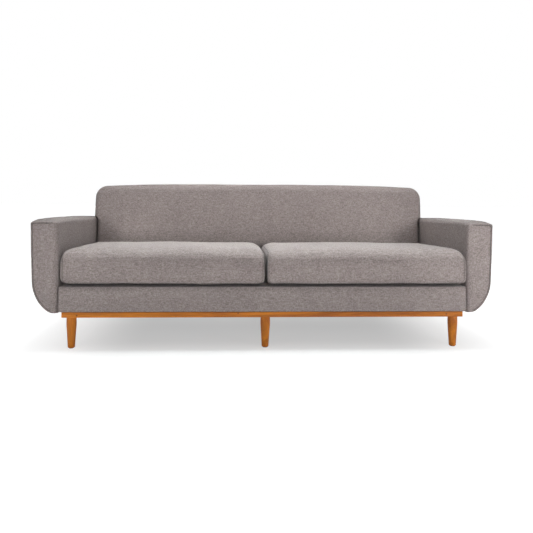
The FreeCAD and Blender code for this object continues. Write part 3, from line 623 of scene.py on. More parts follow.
ARM_OUTSIDE = 1.130
ARM_INSIDE = 0.995
ARM_BOTTOM = 0.174
ARM_FRONT = -0.440
ARM_REAR = 0.440
SIDE_RADIUS = 0.190
SIDE_TOP = 0.335
HEEL_RADIUS = 0.060
FOOT_RADIUS = 0.004
WALL_FLARE = 0.0065
FRONT_HOLLOW = 0.009
OUTER_EDGE = 0.008
INNER_EDGE = 0.025
LEAST_EDGE = 0.0015
TOP_CROWN = 0.004
ARM_NOSE = 0.015
NOSE_OUTER = 0.006
NOSE_INNER = 0.024
NOSE_TOP = 0.003
INNER_DEPTH = 0.030
REAR_ROUND = 0.006
FRONT_SEAM = -0.005
SEAT_SIDE_SEAM = 0.020
PUCKER_PITCH = 0.021
PUCKER_HEIGHT = 0.00022
FRONT_FULLNESS = 0.0022
ARM_RUNS = (6, 26, 40, 22, 10, 8, 24, 14, 50, 4)
WALL_STOP, ROOF_STOP, INNER_START, INNER_STOP, ARM_COUNT = np.cumsum(ARM_RUNS)[[3, 6, 7, 8, 9]]


def arm_top(y):
    """Height of the arm's top edge: a quick rise from the front, then a long fall."""
    share = (y - ARM_FRONT) / (ARM_REAR - ARM_FRONT)
    if share <= 0.12:
        return 0.6145 + 0.0105 * math.sin(math.pi / 2 * share / 0.12)
    return 0.602 + 0.023 * math.cos(math.pi / 2 * (share - 0.12) / 0.88)


def inner_draw(y):
    """How far the seat side lies inside its box: round at the front, hollow behind, then full."""
    hollow = FRONT_HOLLOW * (1 - soft_step((y + 0.40) / 0.50))
    share = 1 - np.minimum((y - ARM_FRONT) / INNER_DEPTH, 1)
    return hollow + NOSE_INNER * (1 - np.sqrt(1 - share**2))


def arc(centre, radius, start, end, count):
    """Points round a centre, from one angle to another."""
    angles = np.radians(np.linspace(start, end, count, endpoint=False))
    return np.stack([centre[0] + radius * np.cos(angles), centre[1] + radius * np.sin(angles)], axis=1)


def line(start, end, count):
    """Points from a start towards an end."""
    shares = np.linspace(0, 1, count, endpoint=False)[:, None]
    return np.array(start) * (1 - shares) + np.array(end) * shares


def crowned(start, end, level, count):
    """Points across a top that rises a little in its middle."""
    shares = np.linspace(0, 1, count, endpoint=False)
    rise = TOP_CROWN * np.sin(math.pi * shares) ** 0.8
    return np.stack([start + (end - start) * shares, level + rise], axis=1)


def outlined(runs, counts):
    """One outline through runs, each a way of drawing with what it needs, of so many points."""
    return np.concatenate([draw(*values, count) for (draw, *values), count in zip(runs, counts)])


def arm_ring(y, outer, inner, upper):
    """The right arm's outline at a depth, drawn in at its outside, its seat side and its top."""
    outside = ARM_OUTSIDE - outer
    inside = ARM_INSIDE + inner
    ceiling = arm_top(y) - upper
    side = np.array((ARM_OUTSIDE - SIDE_RADIUS, SIDE_TOP))
    drop = SIDE_TOP - ARM_BOTTOM - HEEL_RADIUS
    heel = side + (math.sqrt((SIDE_RADIUS - HEEL_RADIUS) ** 2 - drop**2), -drop)
    turn = math.degrees(math.atan2(side[1] - heel[1], heel[0] - side[0]))
    heel_radius = HEEL_RADIUS - min(outer, 0.02)
    heel_x = max(heel[0], inside + FOOT_RADIUS + 0.002)
    heel_turn = math.asin(min((heel_x - heel[0]) / heel_radius, 0.9))
    bottom = heel[1] - heel_radius * math.cos(heel_turn)
    outer_radius = max(OUTER_EDGE - outer, LEAST_EDGE)
    inner_radius = max(INNER_EDGE - inner, LEAST_EDGE)
    corner = (outside - outer_radius, ceiling - outer_radius)
    inner_corner = (inside + inner_radius, ceiling - inner_radius)
    foot = (inside + FOOT_RADIUS, bottom + FOOT_RADIUS)
    wall_end = (outside, corner[1] - 0.014)
    runs = (
        (line, (foot[0], bottom), (heel_x, bottom)),
        (arc, heel, heel_radius, math.degrees(heel_turn) - 90, -turn),
        (arc, side, SIDE_RADIUS - outer, -turn, 0),
        (line, (outside, SIDE_TOP), wall_end),
        (line, wall_end, (outside, corner[1])),
        (arc, corner, outer_radius, 0, 90),
        (crowned, corner[0], inner_corner[0], ceiling),
        (arc, inner_corner, inner_radius, 90, 180),
        (line, (inside, inner_corner[1]), (inside, foot[1])),
        (arc, foot, FOOT_RADIUS, 180, 270),
    )
    x, z = outlined(runs, ARM_RUNS).T
    flare = np.clip((z - SIDE_TOP) / (0.600 - SIDE_TOP), 0, 1.05)
    x = x + WALL_FLARE * flare * clamped((x - 1.03) / 0.08)
    return np.column_stack([x, np.full(len(x), y), z])


def arm_form():
    """Rings of the right arm from front to rear, and how far each lies from the front edge."""
    rings = []
    along = []
    for inset in (0.010, 0.0085, 0.0075, 0.0065, 0.0058, 0.0050, 0.0042, 0.0035, 0.0025, 0.0015, 0.0007):
        inner = inner_draw(ARM_FRONT) + inset
        rings.append(arm_ring(ARM_FRONT, NOSE_OUTER + inset, inner, NOSE_TOP + inset))
        along.append(-inset)
    shares = (0.02, 0.1, 0.2, 0.3, 0.4, 0.5, 0.6, 0.69, 0.77, 0.84, 0.90, 0.95, 0.98)
    rings[:0] = closed_in(rings[0], (1.070, ARM_FRONT, 0.42), shares)
    along[:0] = [-0.06] * len(shares)
    for angle in quarter_turn(12):
        drawn = 1 - math.sin(angle)
        y = ARM_FRONT + ARM_NOSE * (1 - math.cos(angle))
        rings.append(arm_ring(y, NOSE_OUTER * drawn, inner_draw(y), NOSE_TOP * drawn))
        along.append(ARM_NOSE * angle)
    length = ARM_REAR - ARM_FRONT - ARM_NOSE
    run = [0.0015 * step for step in range(1, 14)] + list(np.linspace(0.026, length - 0.03, 56))
    for place in run + [length - 0.02, length - 0.014, length - 0.010]:
        y = ARM_FRONT + ARM_NOSE + place
        rings.append(arm_ring(y, 0, inner_draw(y), 0))
        along.append(ARM_NOSE * math.pi / 2 + place)
    for angle in quarter_turn(8, 1):
        drawn = REAR_ROUND * (1 - math.cos(angle))
        rings.append(arm_ring(ARM_REAR - REAR_ROUND * (1 - math.sin(angle)), drawn, drawn, drawn))
        along.append(0.9)
    shares = (0.98, 0.93, 0.84, 0.7, 0.55, 0.4, 0.25, 0.12, 0.02)
    rings += closed_in(rings[-1], (1.066, ARM_REAR, 0.42), shares)
    along += [0.95] * len(shares)
    return np.array(rings), np.array(along)[:, None]


rings, along = arm_form()
indices = np.arange(ARM_COUNT)
inner_share = clamped((indices - (ROOF_STOP - 5)) / (INNER_START - ROOF_STOP + 8))
inner_share = np.where(indices >= INNER_STOP, 1, inner_share)
from_front = along - (FRONT_SEAM * (1 - inner_share) + SEAT_SIDE_SEAM * inner_share)
sewn = clamped((0.75 - inner_share) / 0.5) * clamped(indices / 4)
middle_ring = rings[40]
lengths = np.linalg.norm(np.diff(middle_ring, axis=0, append=middle_ring[:1]), axis=1)
around = np.cumsum(lengths) - lengths
from_top = np.broadcast_to(around - around[WALL_STOP + 4], from_front.shape)
before_rear = along < 0.88
top_seam = groove(from_top) * clamped((along - 0.01) / 0.01) * before_rear
pucker = PUCKER_HEIGHT * np.sin(around * 2 * math.pi / PUCKER_PITCH)
pucker = pucker * np.exp(-np.abs(from_front) / 0.012)
relief = (groove(from_front) * sewn + top_seam + pucker).ravel()
places = rings.reshape(-1, 3)
x, y, z = places.T
fullness = FRONT_FULLNESS * bell(x - 1.065, 0.05) * (y <= ARM_FRONT + 1e-6)
fullness = fullness * clamped((z - 0.22) / 0.1) * clamped((0.60 - z) / 0.08)
relief = relief + uneven(places, 0.16, 0.0014, 3) + uneven(places, 0.045, 0.0004, 4) + fullness
seat_side = x < ARM_INSIDE + FRONT_HOLLOW + 0.001
relief = np.where(seat_side & (y > -0.42), np.minimum(relief, 0.0003), relief)
# Painted shade: the cloth is darkened along the front and top seams, and low on the seat side where the
# cushions shade it.
front_painted_shade = painted_seam_shade(from_front, 0.0022) * sewn
top_painted_shade = painted_seam_shade(from_top) * (along > 0.004) * before_rear
painted_shade_by_seat = soft_step((0.57 - z) / 0.12) * soft_step((y + 0.42) / 0.05)
painted_shades = np.maximum(front_painted_shade, 0.7 * top_painted_shade).ravel()
painted_shades = np.maximum(painted_shades, 0.24 * painted_shade_by_seat * seat_side)
for side, sign in (("right", 1), ("left", -1)):
    arm = closed_loft(f"{side}_arm_cloth", list(rings * (sign, 1, 1)))
    pushed(arm, with_ends(relief, ARM_COUNT))
    shaded(arm, with_ends(painted_shades, ARM_COUNT))
    arm.data.materials.append(tweed)
    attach(arm, "sofa")
    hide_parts(f"{side}_arm_upholstery")

# Back
# One wide padded bench back that leans. Its face rolls over at the top and the sides, its top is
# crowned, and it swells a little where it stands above the arms. The outside back is flat cloth.

BACK_FOOT = 0.3055
BACK_FACE = 0.156
BACK_LEAN = 0.075
DECK_LEVEL = 0.305
BACK_TOP = 0.815
FRAME_FOOT = 0.1795
RAIL_REAR = 0.339
BACK_NARROW = 0.992
BACK_SWELL = 0.020
BACK_CORNER = 0.072
BACK_CROWN = 0.014
BACK_NOSE = 0.046
BACK_DEPTH = 0.262
NOSE_LOWER = 0.0495
NOSE_SIDE = 0.036
REAR_EDGE = 0.014
FULL_SHOULDER = 0.0035
BACK_FULLNESS = 0.006
lean = math.atan2(BACK_LEAN, BACK_TOP - DECK_LEVEL)
lean_back, lean_up = math.sin(lean), math.cos(lean)
nose_up = NOSE_LOWER * lean_up
nose_back = BACK_NOSE * lean_back
crest = nose_up + nose_back - math.hypot(nose_up, nose_back)


def back_half_width(up, drawn):
    """Half of the back's width at a height along its face."""
    level = up * lean_up + DECK_LEVEL
    return BACK_NARROW - NOSE_SIDE * drawn + BACK_SWELL * soft_step((level - 0.590) / 0.034)


def back_half(forward, drawn, rise):
    """Half of the back's outline, from the middle of its foot up its side to the middle of its top."""
    shoulder = (BACK_TOP - DECK_LEVEL + crest) / lean_up - NOSE_LOWER * drawn - BACK_CROWN + rise
    foot = (BACK_FOOT - DECK_LEVEL + forward * lean_back) / lean_up
    if BACK_FACE + foot * lean_back + forward * lean_up >= RAIL_REAR:
        foot = (FRAME_FOOT - DECK_LEVEL + forward * lean_back) / lean_up
    wall_top = shoulder - BACK_CORNER
    half = back_half_width(wall_top, drawn)
    reach = half - BACK_CORNER
    outline = [(half * share, foot) for share in np.linspace(0, 1, 26)[:-1]]
    for share in np.linspace(0, 1, 46)[:-1]:
        up = foot + (wall_top - foot) * share
        outline.append((back_half_width(up, drawn), up))
    for angle in quarter_turn(16)[:-1]:
        away = half - BACK_CORNER * (1 - math.cos(angle))
        outline.append((away, wall_top + BACK_CORNER * math.sin(angle)))
    for share in np.linspace(0, 1, 44):
        x = reach * (1 - share)
        fall = rise * (1 - soft_step(x / 0.28))
        outline.append((x, shoulder + BACK_CROWN * (1 - (x / reach) ** 3) - fall))
    return outline


def back_ring(forward, drawn):
    """The back's outline in its leaning plane. Its right shoulder is stuffed a little fuller."""
    left = [(-x, up) for x, up in back_half(forward, drawn, 0.0)[-2:0:-1]]
    x, up = np.array(back_half(forward, drawn, FULL_SHOULDER) + left).T
    return set_back(x, up, forward)


def set_back(x, up, forward):
    """Points of the leaning back, from their places along its face and behind it."""
    y = BACK_FACE + up * lean_back + forward * lean_up
    return np.column_stack([x, y, DECK_LEVEL + up * lean_up - forward * lean_back])


def rear_plane(z):
    """Where the outside back lies at a height."""
    return 0.434 - 0.012 * (BACK_TOP - z) / (BACK_TOP - 0.178)


shares = (0.01, 0.08, 0.16, 0.24, 0.32, 0.40, 0.48, 0.56)
shares += (0.64, 0.71, 0.78, 0.84, 0.89, 0.93, 0.96, 0.985)
face_middle = set_back(0.0, 0.26, 0.0)[0]
rings = closed_in(back_ring(0.0, 1.0), face_middle, shares)
for angle in quarter_turn(16):
    rings.append(back_ring(BACK_NOSE * (1 - math.cos(angle)), 1 - math.sin(angle)))
for share in (0.04, 0.12, 0.22, 0.34, 0.46, 0.56, 0.62, 0.66, 0.70, 0.78, 0.88, 1.0):
    ring = back_ring(BACK_NOSE + (BACK_DEPTH - BACK_NOSE) * share, 0.0)
    over = np.maximum(ring[:, 1] - (rear_plane(ring[:, 2]) - REAR_EDGE), 0)
    ring[:, 1] -= over
    ring[:, 2] += over * math.tan(lean) * (ring[:, 2] > 0.32)
    rings.append(ring)
base_ring = rings[-1].copy()
base_ring[:, 1] = rear_plane(base_ring[:, 2]) - REAR_EDGE
rings[-1] = base_ring
for angle in quarter_turn(8, 1):
    ring = base_ring.copy()
    draw = REAR_EDGE * (1 - math.cos(angle))
    ring[:, 0] -= np.sign(ring[:, 0]) * np.minimum(np.abs(ring[:, 0]), draw)
    ring[:, 2] -= draw * clamped((ring[:, 2] - FRAME_FOOT) / (BACK_TOP - FRAME_FOOT))
    ring[:, 1] = rear_plane(ring[:, 2]) - REAR_EDGE + REAR_EDGE * math.sin(angle)
    rings.append(ring)
rim = rings[-1]
for ring in closed_in(rim, (0.0, 0.42, 0.49), (0.985, 0.96, 0.9, 0.8, 0.65, 0.5, 0.35, 0.2, 0.02)):
    ring[:, 1] = rear_plane(ring[:, 2])
    rings.append(ring)
back = closed_loft("back_cloth", rings)
places = np.concatenate(rings)
x, y, z = places.T
aside = np.abs(x)
fullness = BACK_FULLNESS * (1 - clamped(aside / 0.96) ** 4)
fullness = fullness * clamped((z - 0.50) / 0.12) * clamped((0.80 - z) / 0.12)
face = y < BACK_FACE + (z - DECK_LEVEL) * math.tan(lean) + 0.004
amounts = uneven(places, 0.30, 0.0020, 5) + uneven(places, 0.09, 0.0008, 6) + fullness * face
kept_clear = (aside > 0.97) & (z < 0.64) | face & (z < 0.50)
amounts = np.where(kept_clear, np.minimum(amounts, 0) * 0.3, amounts)
pushed(back, with_ends(amounts, len(rim)))
# Painted shade: the sides are darkened where they pass the arms, and the face is darker towards its foot
# and darkest behind the cushions.
painted_shade_by_arm = clamped((aside - 0.984) / 0.005) * clamped((0.615 - z) / 0.008)
painted_shade_behind_cushion = 0.20 * soft_step((0.56 - z) / 0.08) + 0.70 * soft_step((0.470 - z) / 0.045)
painted_shades = np.maximum(painted_shade_by_arm, painted_shade_behind_cushion * (y < 0.30))
shaded(back, with_ends(painted_shades, len(rim)))
back.data.materials.append(tweed)
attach(back, "sofa")
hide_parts("back_upholstery")

# Outside back seam
# Two lips of cloth where the outside back is sewn to the border, up both sides and over the top.
# The thread draws them into a narrow groove between.

LIP = ((0.0006, -0.0013), (0.0016, 0.0002), (0.0030, 0.0005), (0.0046, -0.0002), (0.0062, -0.0016))
# Painted shade across the seam: darkest where the lips meet in the groove.
LIP_PAINTED_SHADES = (0.66, 0.22, 0.0, 0.03, 0.06)
SEAM_PROFILE = [(-away, up) for away, up in LIP[::-1]] + [*LIP, (0.0, -0.0034)]
SEAM_PAINTED_SHADES = (*LIP_PAINTED_SHADES[::-1], *LIP_PAINTED_SHADES, 0.0)


def unit(rows):
    """Directions, one to a row, each made 1 long."""
    return rows / np.linalg.norm(rows, axis=1, keepdims=True)


def seam_roll(name, course):
    """The two lips of a sewn seam, laid along a course, with painted shade in the groove between them.
    """
    places, normals = (np.array(values) for values in zip(*course))
    for _ in range(4):
        for values in (places, normals):
            values[1:-1] = (values[:-2] + 2 * values[1:-1] + values[2:]) / 4
    normals = unit(normals)
    across = unit(np.cross(unit(np.gradient(places, axis=0)), normals))
    rings = []
    for place, normal, side in zip(places, normals, across):
        rings.append(np.array([place + side * away + normal * up for away, up in SEAM_PROFILE]))
    roll = closed_loft(name, rings)
    shaded(roll, with_ends(np.tile(SEAM_PAINTED_SHADES, len(rings)), len(SEAM_PROFILE)))
    return roll, places


course = []
for x, _, z in rim[26:-26]:
    inward = Vector((-x, 0, 0.45 - z)).normalized() * 0.007
    spot = Vector((x, 0, z)) + inward
    course.append((Vector((spot.x, rear_plane(spot.z) + 0.0006, spot.z)), Vector((0, 1, 0))))
border, _ = seam_roll("outside_back_seam", course)
border.data.materials.append(tweed)
border.parent = back

# Staples
# Wire staples that hold the cloth where it is turned under, in a row beneath the back and one
# beneath each arm beside the seat frame. They are set by eye, so they stand a little askew.

look = {"Scale": 90.0, "Detail": 3.0}
stains = ((0.42, (0.60, 0.60, 0.61)), (0.66, (0.34, 0.31, 0.28)))
wire = {"Roughness": 0.34, "Metallic": 1.0}
steel = patterned("staple_steel", (0.55, 0.55, 0.56), NOISE, look, stains, 0.2, 0.0002, **wire)


def row_tree():
    """Geometry nodes that set copies of a part along a course, each turned a little at random."""
    tree = bpy.data.node_groups.new("row of parts", "GeometryNodeTree")
    inputs = {"Geometry": "Geometry", "Part": "Object", "Spacing": "Float", "Askew": "Float"}
    inputs.update({"Seed": "Int", "Material": "Material"})
    for name, kind in inputs.items():
        tree.interface.new_socket(name, in_out="INPUT", socket_type=f"NodeSocket{kind}")
    tree.interface.new_socket("Geometry", in_out="OUTPUT", socket_type="NodeSocketGeometry")
    given = tree.nodes.new("NodeGroupInput").outputs
    end = tree.nodes.new("NodeGroupOutput")
    course = node_in(tree, "GeometryNodeMeshToCurve", [("Mesh", given["Geometry"])])
    inputs = [("Curve", course.outputs[0]), ("Length", given["Spacing"])]
    places = node_in(tree, "GeometryNodeCurveToPoints", inputs, mode="LENGTH").outputs
    inputs = [("Vector", places["Tangent"])]
    turn = node_in(tree, "FunctionNodeAlignRotationToVector", inputs, axis="X", pivot_axis="Z")
    part = node_in(tree, "GeometryNodeObjectInfo", [("Object", given["Part"])]).outputs["Geometry"]
    inputs = [("Points", places["Points"]), ("Instance", part), ("Rotation", turn.outputs[0])]
    copies = node_in(tree, "GeometryNodeInstanceOnPoints", inputs)
    least = sums(tree, "MULTIPLY", given["Askew"], -1.0)
    inputs = [(2, least), (3, given["Askew"]), ("Seed", given["Seed"])]
    chance = node_in(tree, "FunctionNodeRandomValue", inputs, data_type="FLOAT")
    askew = node_in(tree, "ShaderNodeCombineXYZ", [("Z", chance.outputs[1])])
    inputs = [("Instances", copies.outputs[0]), ("Rotation", askew.outputs[0])]
    turned = node_in(tree, "GeometryNodeRotateInstances", inputs)
    real = node_in(tree, "GeometryNodeRealizeInstances", [("Geometry", turned.outputs[0])])
    inputs = [("Geometry", real.outputs[0]), ("Material", given["Material"])]
    painted = node_in(tree, "GeometryNodeSetMaterial", inputs)
    tree.links.new(painted.outputs[0], end.inputs["Geometry"])
    return tree


row_of_parts = row_tree()


def evaluated(piece):
    """The piece's mesh with its modifiers worked in."""
    depsgraph = bpy.context.evaluated_depsgraph_get()
    return bpy.data.meshes.new_from_object(piece.evaluated_get(depsgraph))


def set_in_rows(name, courses, part, spacing, material, askew=0.0, seed=0):
    """One mesh of copies of a part, set along each course, with the part itself taken away."""
    points, edges = [], []
    for course in courses:
        edges += [(len(points) + index, len(points) + index + 1) for index in range(len(course) - 1)]
        points += [tuple(place) for place in course]
    mesh = bpy.data.meshes.new(name)
    mesh.from_pydata(points, edges, [])
    row = added(name, mesh)
    setting = row.modifiers.new("row", "NODES")
    setting.node_group = row_of_parts
    values = {"Part": part, "Spacing": spacing, "Askew": askew, "Seed": seed, "Material": material}
    for socket in row_of_parts.interface.items_tree:
        if socket.in_out == "INPUT" and socket.name in values:
            setting[socket.identifier] = values[socket.name]
    real = evaluated(row)
    row.modifiers.remove(setting)
    row.data = real
    real.polygons.foreach_set("use_smooth", [True] * len(real.polygons))
    bpy.data.objects.remove(part)
    return row


def wire_staple():
    """A staple of flat wire, its crown along x and its legs up."""
    half = ((0.0046, 0.0), (0.0052, 0.0006), (0.0052, 0.0040))
    path = [Vector((-x, 0, z)) for x, z in half[::-1]] + [Vector((x, 0, z)) for x, z in half]
    rings = []
    for index, place in enumerate(path):
        along = (path[min(index + 1, len(path) - 1)] - path[max(index - 1, 0)]).normalized()
        wide = Vector((0, 0.0006, 0))
        thick = wide.normalized().cross(along) * 0.0003
        ring = []
        for angle in np.linspace(0, 2 * math.pi, 6, endpoint=False):
            ring.append(place + wide * math.cos(angle) + thick * math.sin(angle))
        rings.append(np.array(ring))
    return closed_loft("staple", rings)


def face_tree(mesh):
    """A tree of the mesh's faces, for rays."""
    faces = [tuple(face.vertices) for face in mesh.polygons]
    return BVHTree.FromPolygons(points_of(mesh).tolist(), faces)


def under(piece, places):
    """Points just below a piece at places given as (x, y)."""
    tree = face_tree(piece.data)
    found = [tree.ray_cast(Vector((x, y, 0)), Vector((0, 0, 1)))[0] for x, y in places]
    return [place - Vector((0, 0, 0.0002)) for place in found if place is not None]


courses = [under(back, [(x, 0.420) for x in np.linspace(-0.95, 0.95, 60)])]
for side, sign in (("left", -1), ("right", 1)):
    arm = bpy.data.objects[f"{side}_arm_cloth"]
    courses.append(under(arm, [(sign * 1.012, y) for y in np.linspace(-0.40, 0.40, 40)]))
staples = set_in_rows("cloth_staples", courses, wire_staple(), 0.042, steel, askew=0.16, seed=5)
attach(staples, "sofa")

# Seat cushions
# Two loose cushions of foam in wadding and a sewn case. One length of tweed wraps the top and the
# front, and is sewn to the side and bottom panels about 13 mm inside the edges.

CUSHION_BASE = 0.3055
CUSHION_INNER = 0.0035
CUSHION_OUTER = 0.9925
CUSHION_FRONT = -0.440
CUSHION_REAR = 0.154
FRONT_HEIGHT = 0.170
REAR_HEIGHT = 0.150
UPPER_EDGE = 0.032
LOWER_EDGE = 0.018
FRONT_ROUND = 0.044
REAR_EASE = 0.020
CUSHION_RUNS = (40, 8, 10, 10, 60, 10, 10, 8)
SIDES = (("left", -1, 0.9975, 0.005, 21), ("right", 1, 1.0030, 0.010, 34))
CUSHION_VOXEL = 0.009
STUFFING_PRESSURE = 4.0
STUFFING_FRAMES = 20
STUFFING_CAP = 0.011
SEAM_INSET = 0.013
SEAM_CORNER = 0.024
SEAM_SINK = 0.0022
FRONT_LIFT = 0.0030
END_LIFT = 0.0045
ZIP_SINK = 0.0045


def cushion_outline(y, share, rounding):
    """One outline of the right cushion, with rounding 1 at its ends and 0 along its run."""
    swell = math.sin(math.pi * min(max(share, 0.0), 1.0))
    height = FRONT_HEIGHT * (1 - share) + REAR_HEIGHT * share + 0.006 * swell
    left = CUSHION_INNER + 0.004 + 0.002 * rounding
    right = CUSHION_OUTER - 0.002 - 0.005 * rounding
    floor = 0.002 + 0.012 * rounding
    roof = height - 0.046 * rounding
    upper = UPPER_EDGE + 0.008 * rounding
    lower = LOWER_EDGE + 0.008 * rounding
    runs = (
        (line, (left + lower, floor), (right - lower, floor)),
        (arc, (right - lower, floor + lower), lower, -90, 0),
        (line, (right, floor + lower), (right, roof - upper)),
        (arc, (right - upper, roof - upper), upper, 0, 90),
        (crowned, right - upper, left + upper, roof),
        (arc, (left + upper, roof - upper), upper, 90, 180),
        (line, (left, roof - upper), (left, floor + lower)),
        (arc, (left + lower, floor + lower), lower, 180, 270),
    )
    x, up = outlined(runs, CUSHION_RUNS).T
    tilt = lean * share
    return np.column_stack([x, y + up * math.sin(tilt), CUSHION_BASE + up * math.cos(tilt)])


def cushion_form(name):
    """The right cushion before it is stuffed."""
    front = CUSHION_FRONT - 0.002
    run = CUSHION_REAR - 0.004 - front
    first = cushion_outline(front, 0.0, 1.0)
    rings = closed_in(first, first.mean(axis=0), (0.02, 0.2, 0.4, 0.58, 0.74, 0.86, 0.94))
    for angle in quarter_turn(8):
        y = front + FRONT_ROUND * (1 - math.cos(angle))
        rings.append(cushion_outline(y, (y - front) / run, 1 - math.sin(angle)))
    for share in np.linspace(0.10, 0.92, 26):
        rings.append(cushion_outline(front + run * share, share, 0.0))
    for angle in quarter_turn(6, 1):
        y = front + run - REAR_EASE * (1 - math.sin(angle))
        rings.append(cushion_outline(y, (y - front) / run, 0.6 * (1 - math.cos(angle))))
    last = rings[-1]
    rings += closed_in(last, last.mean(axis=0), (0.94, 0.82, 0.6, 0.4, 0.2, 0.02))
    return closed_loft(name, rings)


def stuffed(piece):
    """The piece as an even mesh, blown up from within, no point moving farther than the cap."""
    remesh = piece.modifiers.new("remesh", "REMESH")
    remesh.mode = "VOXEL"
    remesh.voxel_size = CUSHION_VOXEL
    piece.data = evaluated(piece)
    piece.modifiers.remove(remesh)
    case = piece.modifiers.new("case", "CLOTH")
    case.settings.use_pressure = True
    case.settings.uniform_pressure_force = STUFFING_PRESSURE
    case.settings.tension_stiffness = 25
    case.settings.compression_stiffness = 25
    case.settings.bending_stiffness = 2
    case.settings.effector_weights.gravity = 0
    case.point_cache.frame_end = STUFFING_FRAMES
    for frame_number in range(1, STUFFING_FRAMES + 1):
        bpy.context.scene.frame_set(frame_number)
    full = points_of(evaluated(piece))
    piece.modifiers.remove(case)
    bpy.context.scene.frame_set(1)
    flat = points_of(piece.data)
    move = full - flat
    length = np.linalg.norm(move, axis=1, keepdims=True)
    move *= np.minimum(1, STUFFING_CAP / np.maximum(length, 1e-9))
    piece.data.vertices.foreach_set("co", (flat + move).ravel())
    piece.data.update()


def smoothed(piece, rounds):
    """Even out the points of a piece, keeping its fullness."""
    form = bmesh.new()
    form.from_mesh(piece.data)
    every_way = {"use_axis_x": True, "use_axis_y": True, "use_axis_z": True}
    for _ in range(rounds):
        bmesh.ops.smooth_vert(form, verts=form.verts, factor=0.5, **every_way)
    form.to_mesh(piece.data)
    form.free()


def seam_course(mesh):
    """Points and normals along a cushion's seam: from its rear over the top, round, and back."""
    tree = face_tree(mesh)
    sides = points_of(mesh)[:, 0]
    left, right = sides.min() + SEAM_INSET, sides.max() - SEAM_INSET
    top = CUSHION_BASE + 0.172
    low = CUSHION_BASE + 0.013
    turn = low + SEAM_CORNER
    over = []
    for side in (left, right):
        run = [((side, y, 1.0), (0, 0, -1)) for y in np.linspace(0.125, -0.385, 130)]
        centre = Vector((side, -0.385, top - 0.055))
        for angle in np.linspace(0.03, math.pi / 2, 20):
            away = Vector((0, -math.sin(angle), math.cos(angle)))
            run.append((centre + away * 0.3, -away))
        over.append(run)
    bend = []
    for angle in np.linspace(0, math.pi / 2, 12):
        bend.append((SEAM_CORNER * (1 - math.cos(angle)), low + SEAM_CORNER * (1 - math.sin(angle))))
    face = [(left, z) for z in np.linspace(top - 0.058, turn, 16)]
    face += [(left + away, z) for away, z in bend[1:]]
    face += [(x, low) for x in np.linspace(left + SEAM_CORNER, right - SEAM_CORNER, 240)[1:]]
    face += [(right - away, z) for away, z in bend[-2::-1]]
    face += [(right, z) for z in np.linspace(turn, top - 0.058, 16)[1:]]
    front = [((x, -0.8, z), (0, 1, 0)) for x, z in face]
    course = []
    for start, away in over[0] + front + over[1][::-1]:
        place, normal, _, _ = tree.ray_cast(Vector(start), Vector(away))
        if place is not None:
            course.append((place, normal))
    return course


def away_from(points, course):
    """How far each point lies from a course."""
    tree = KDTree(len(course))
    for index, place in enumerate(course):
        tree.insert(place, index)
    tree.balance()
    return np.array([tree.find(point)[2] for point in points])


ZIP_LEVEL = CUSHION_BASE + 0.070
ZIP_MIDDLE = 0.502
ZIP_LENGTH = 0.86
ZIP_END = ZIP_LENGTH / 2
ZIP_BACK = BACK_FACE - 0.0060 + (ZIP_LEVEL - DECK_LEVEL) * math.tan(lean)
TAPE_SECTION = ((-0.013, -0.0008), (-0.013, 0.0004), (-0.004, 0.0007))
TAPE_SECTION += ((0.004, 0.0007), (0.013, 0.0004), (0.013, -0.0008))
TOOTH = ((-0.0027, 0.5), (-0.0018, 1.0), (0.0, 0.8), (0.0018, 1.0), (0.0027, 0.5))
PLATE = ((0.0, 0.80), (0.08, 0.93), (0.25, 1.0), (0.75, 1.0), (0.92, 0.93), (1.0, 0.80))
dark_tape = (0.075, 0.068, 0.064)
look = {"Scale": 900.0, "Distortion": 0.3, "Detail": 1.0}
yarns = ((0.2, (0.050, 0.045, 0.042)), (0.8, (0.100, 0.092, 0.086)))
zip_tape = patterned("zip_tape", dark_tape, TWILL, look, yarns, 0.4, 0.0003, Roughness=0.9)
grey_coil = (0.10, 0.092, 0.086)
look = {"Scale": 60.0, "Detail": 3.0}
tones = ((0.4, (0.085, 0.078, 0.073)), (0.65, (0.150, 0.138, 0.130)))
zip_coil = patterned("zip_coil", grey_coil, NOISE, look, tones, 0.15, 0.0002, Roughness=0.42)


def in_zip(x, up, out):
    """A point on the zip, from its place along it, up the cushion's rear and out from it."""
    y = ZIP_BACK + up * lean_back + out * lean_up
    return np.array((x, y, ZIP_LEVEL + up * lean_up - out * lean_back))


def rounded_plate(name, x, up, half_length, half_height, near, far):
    """A small plate with soft edges on the zip, between two distances out."""
    rings = []
    for share, scale in PLATE:
        ring = []
        for angle in np.linspace(0, 2 * math.pi, 28, endpoint=False):
            across, rise = math.cos(angle), math.sin(angle)
            across = math.copysign(abs(across) ** 0.45, across) * half_length * scale
            rise = math.copysign(abs(rise) ** 0.45, rise) * half_height * scale
            ring.append(in_zip(x + across, up + rise, near + (far - near) * share))
        rings.append(np.array(ring))
    return closed_loft(name, rings)


def on_side(mesh, sign):
    """Mirror a mesh of the right cushion where it is for the left one."""
    if sign < 0:
        mesh.transform(Matrix.Scale(-1, 4, (1, 0, 0)))
        mesh.flip_normals()


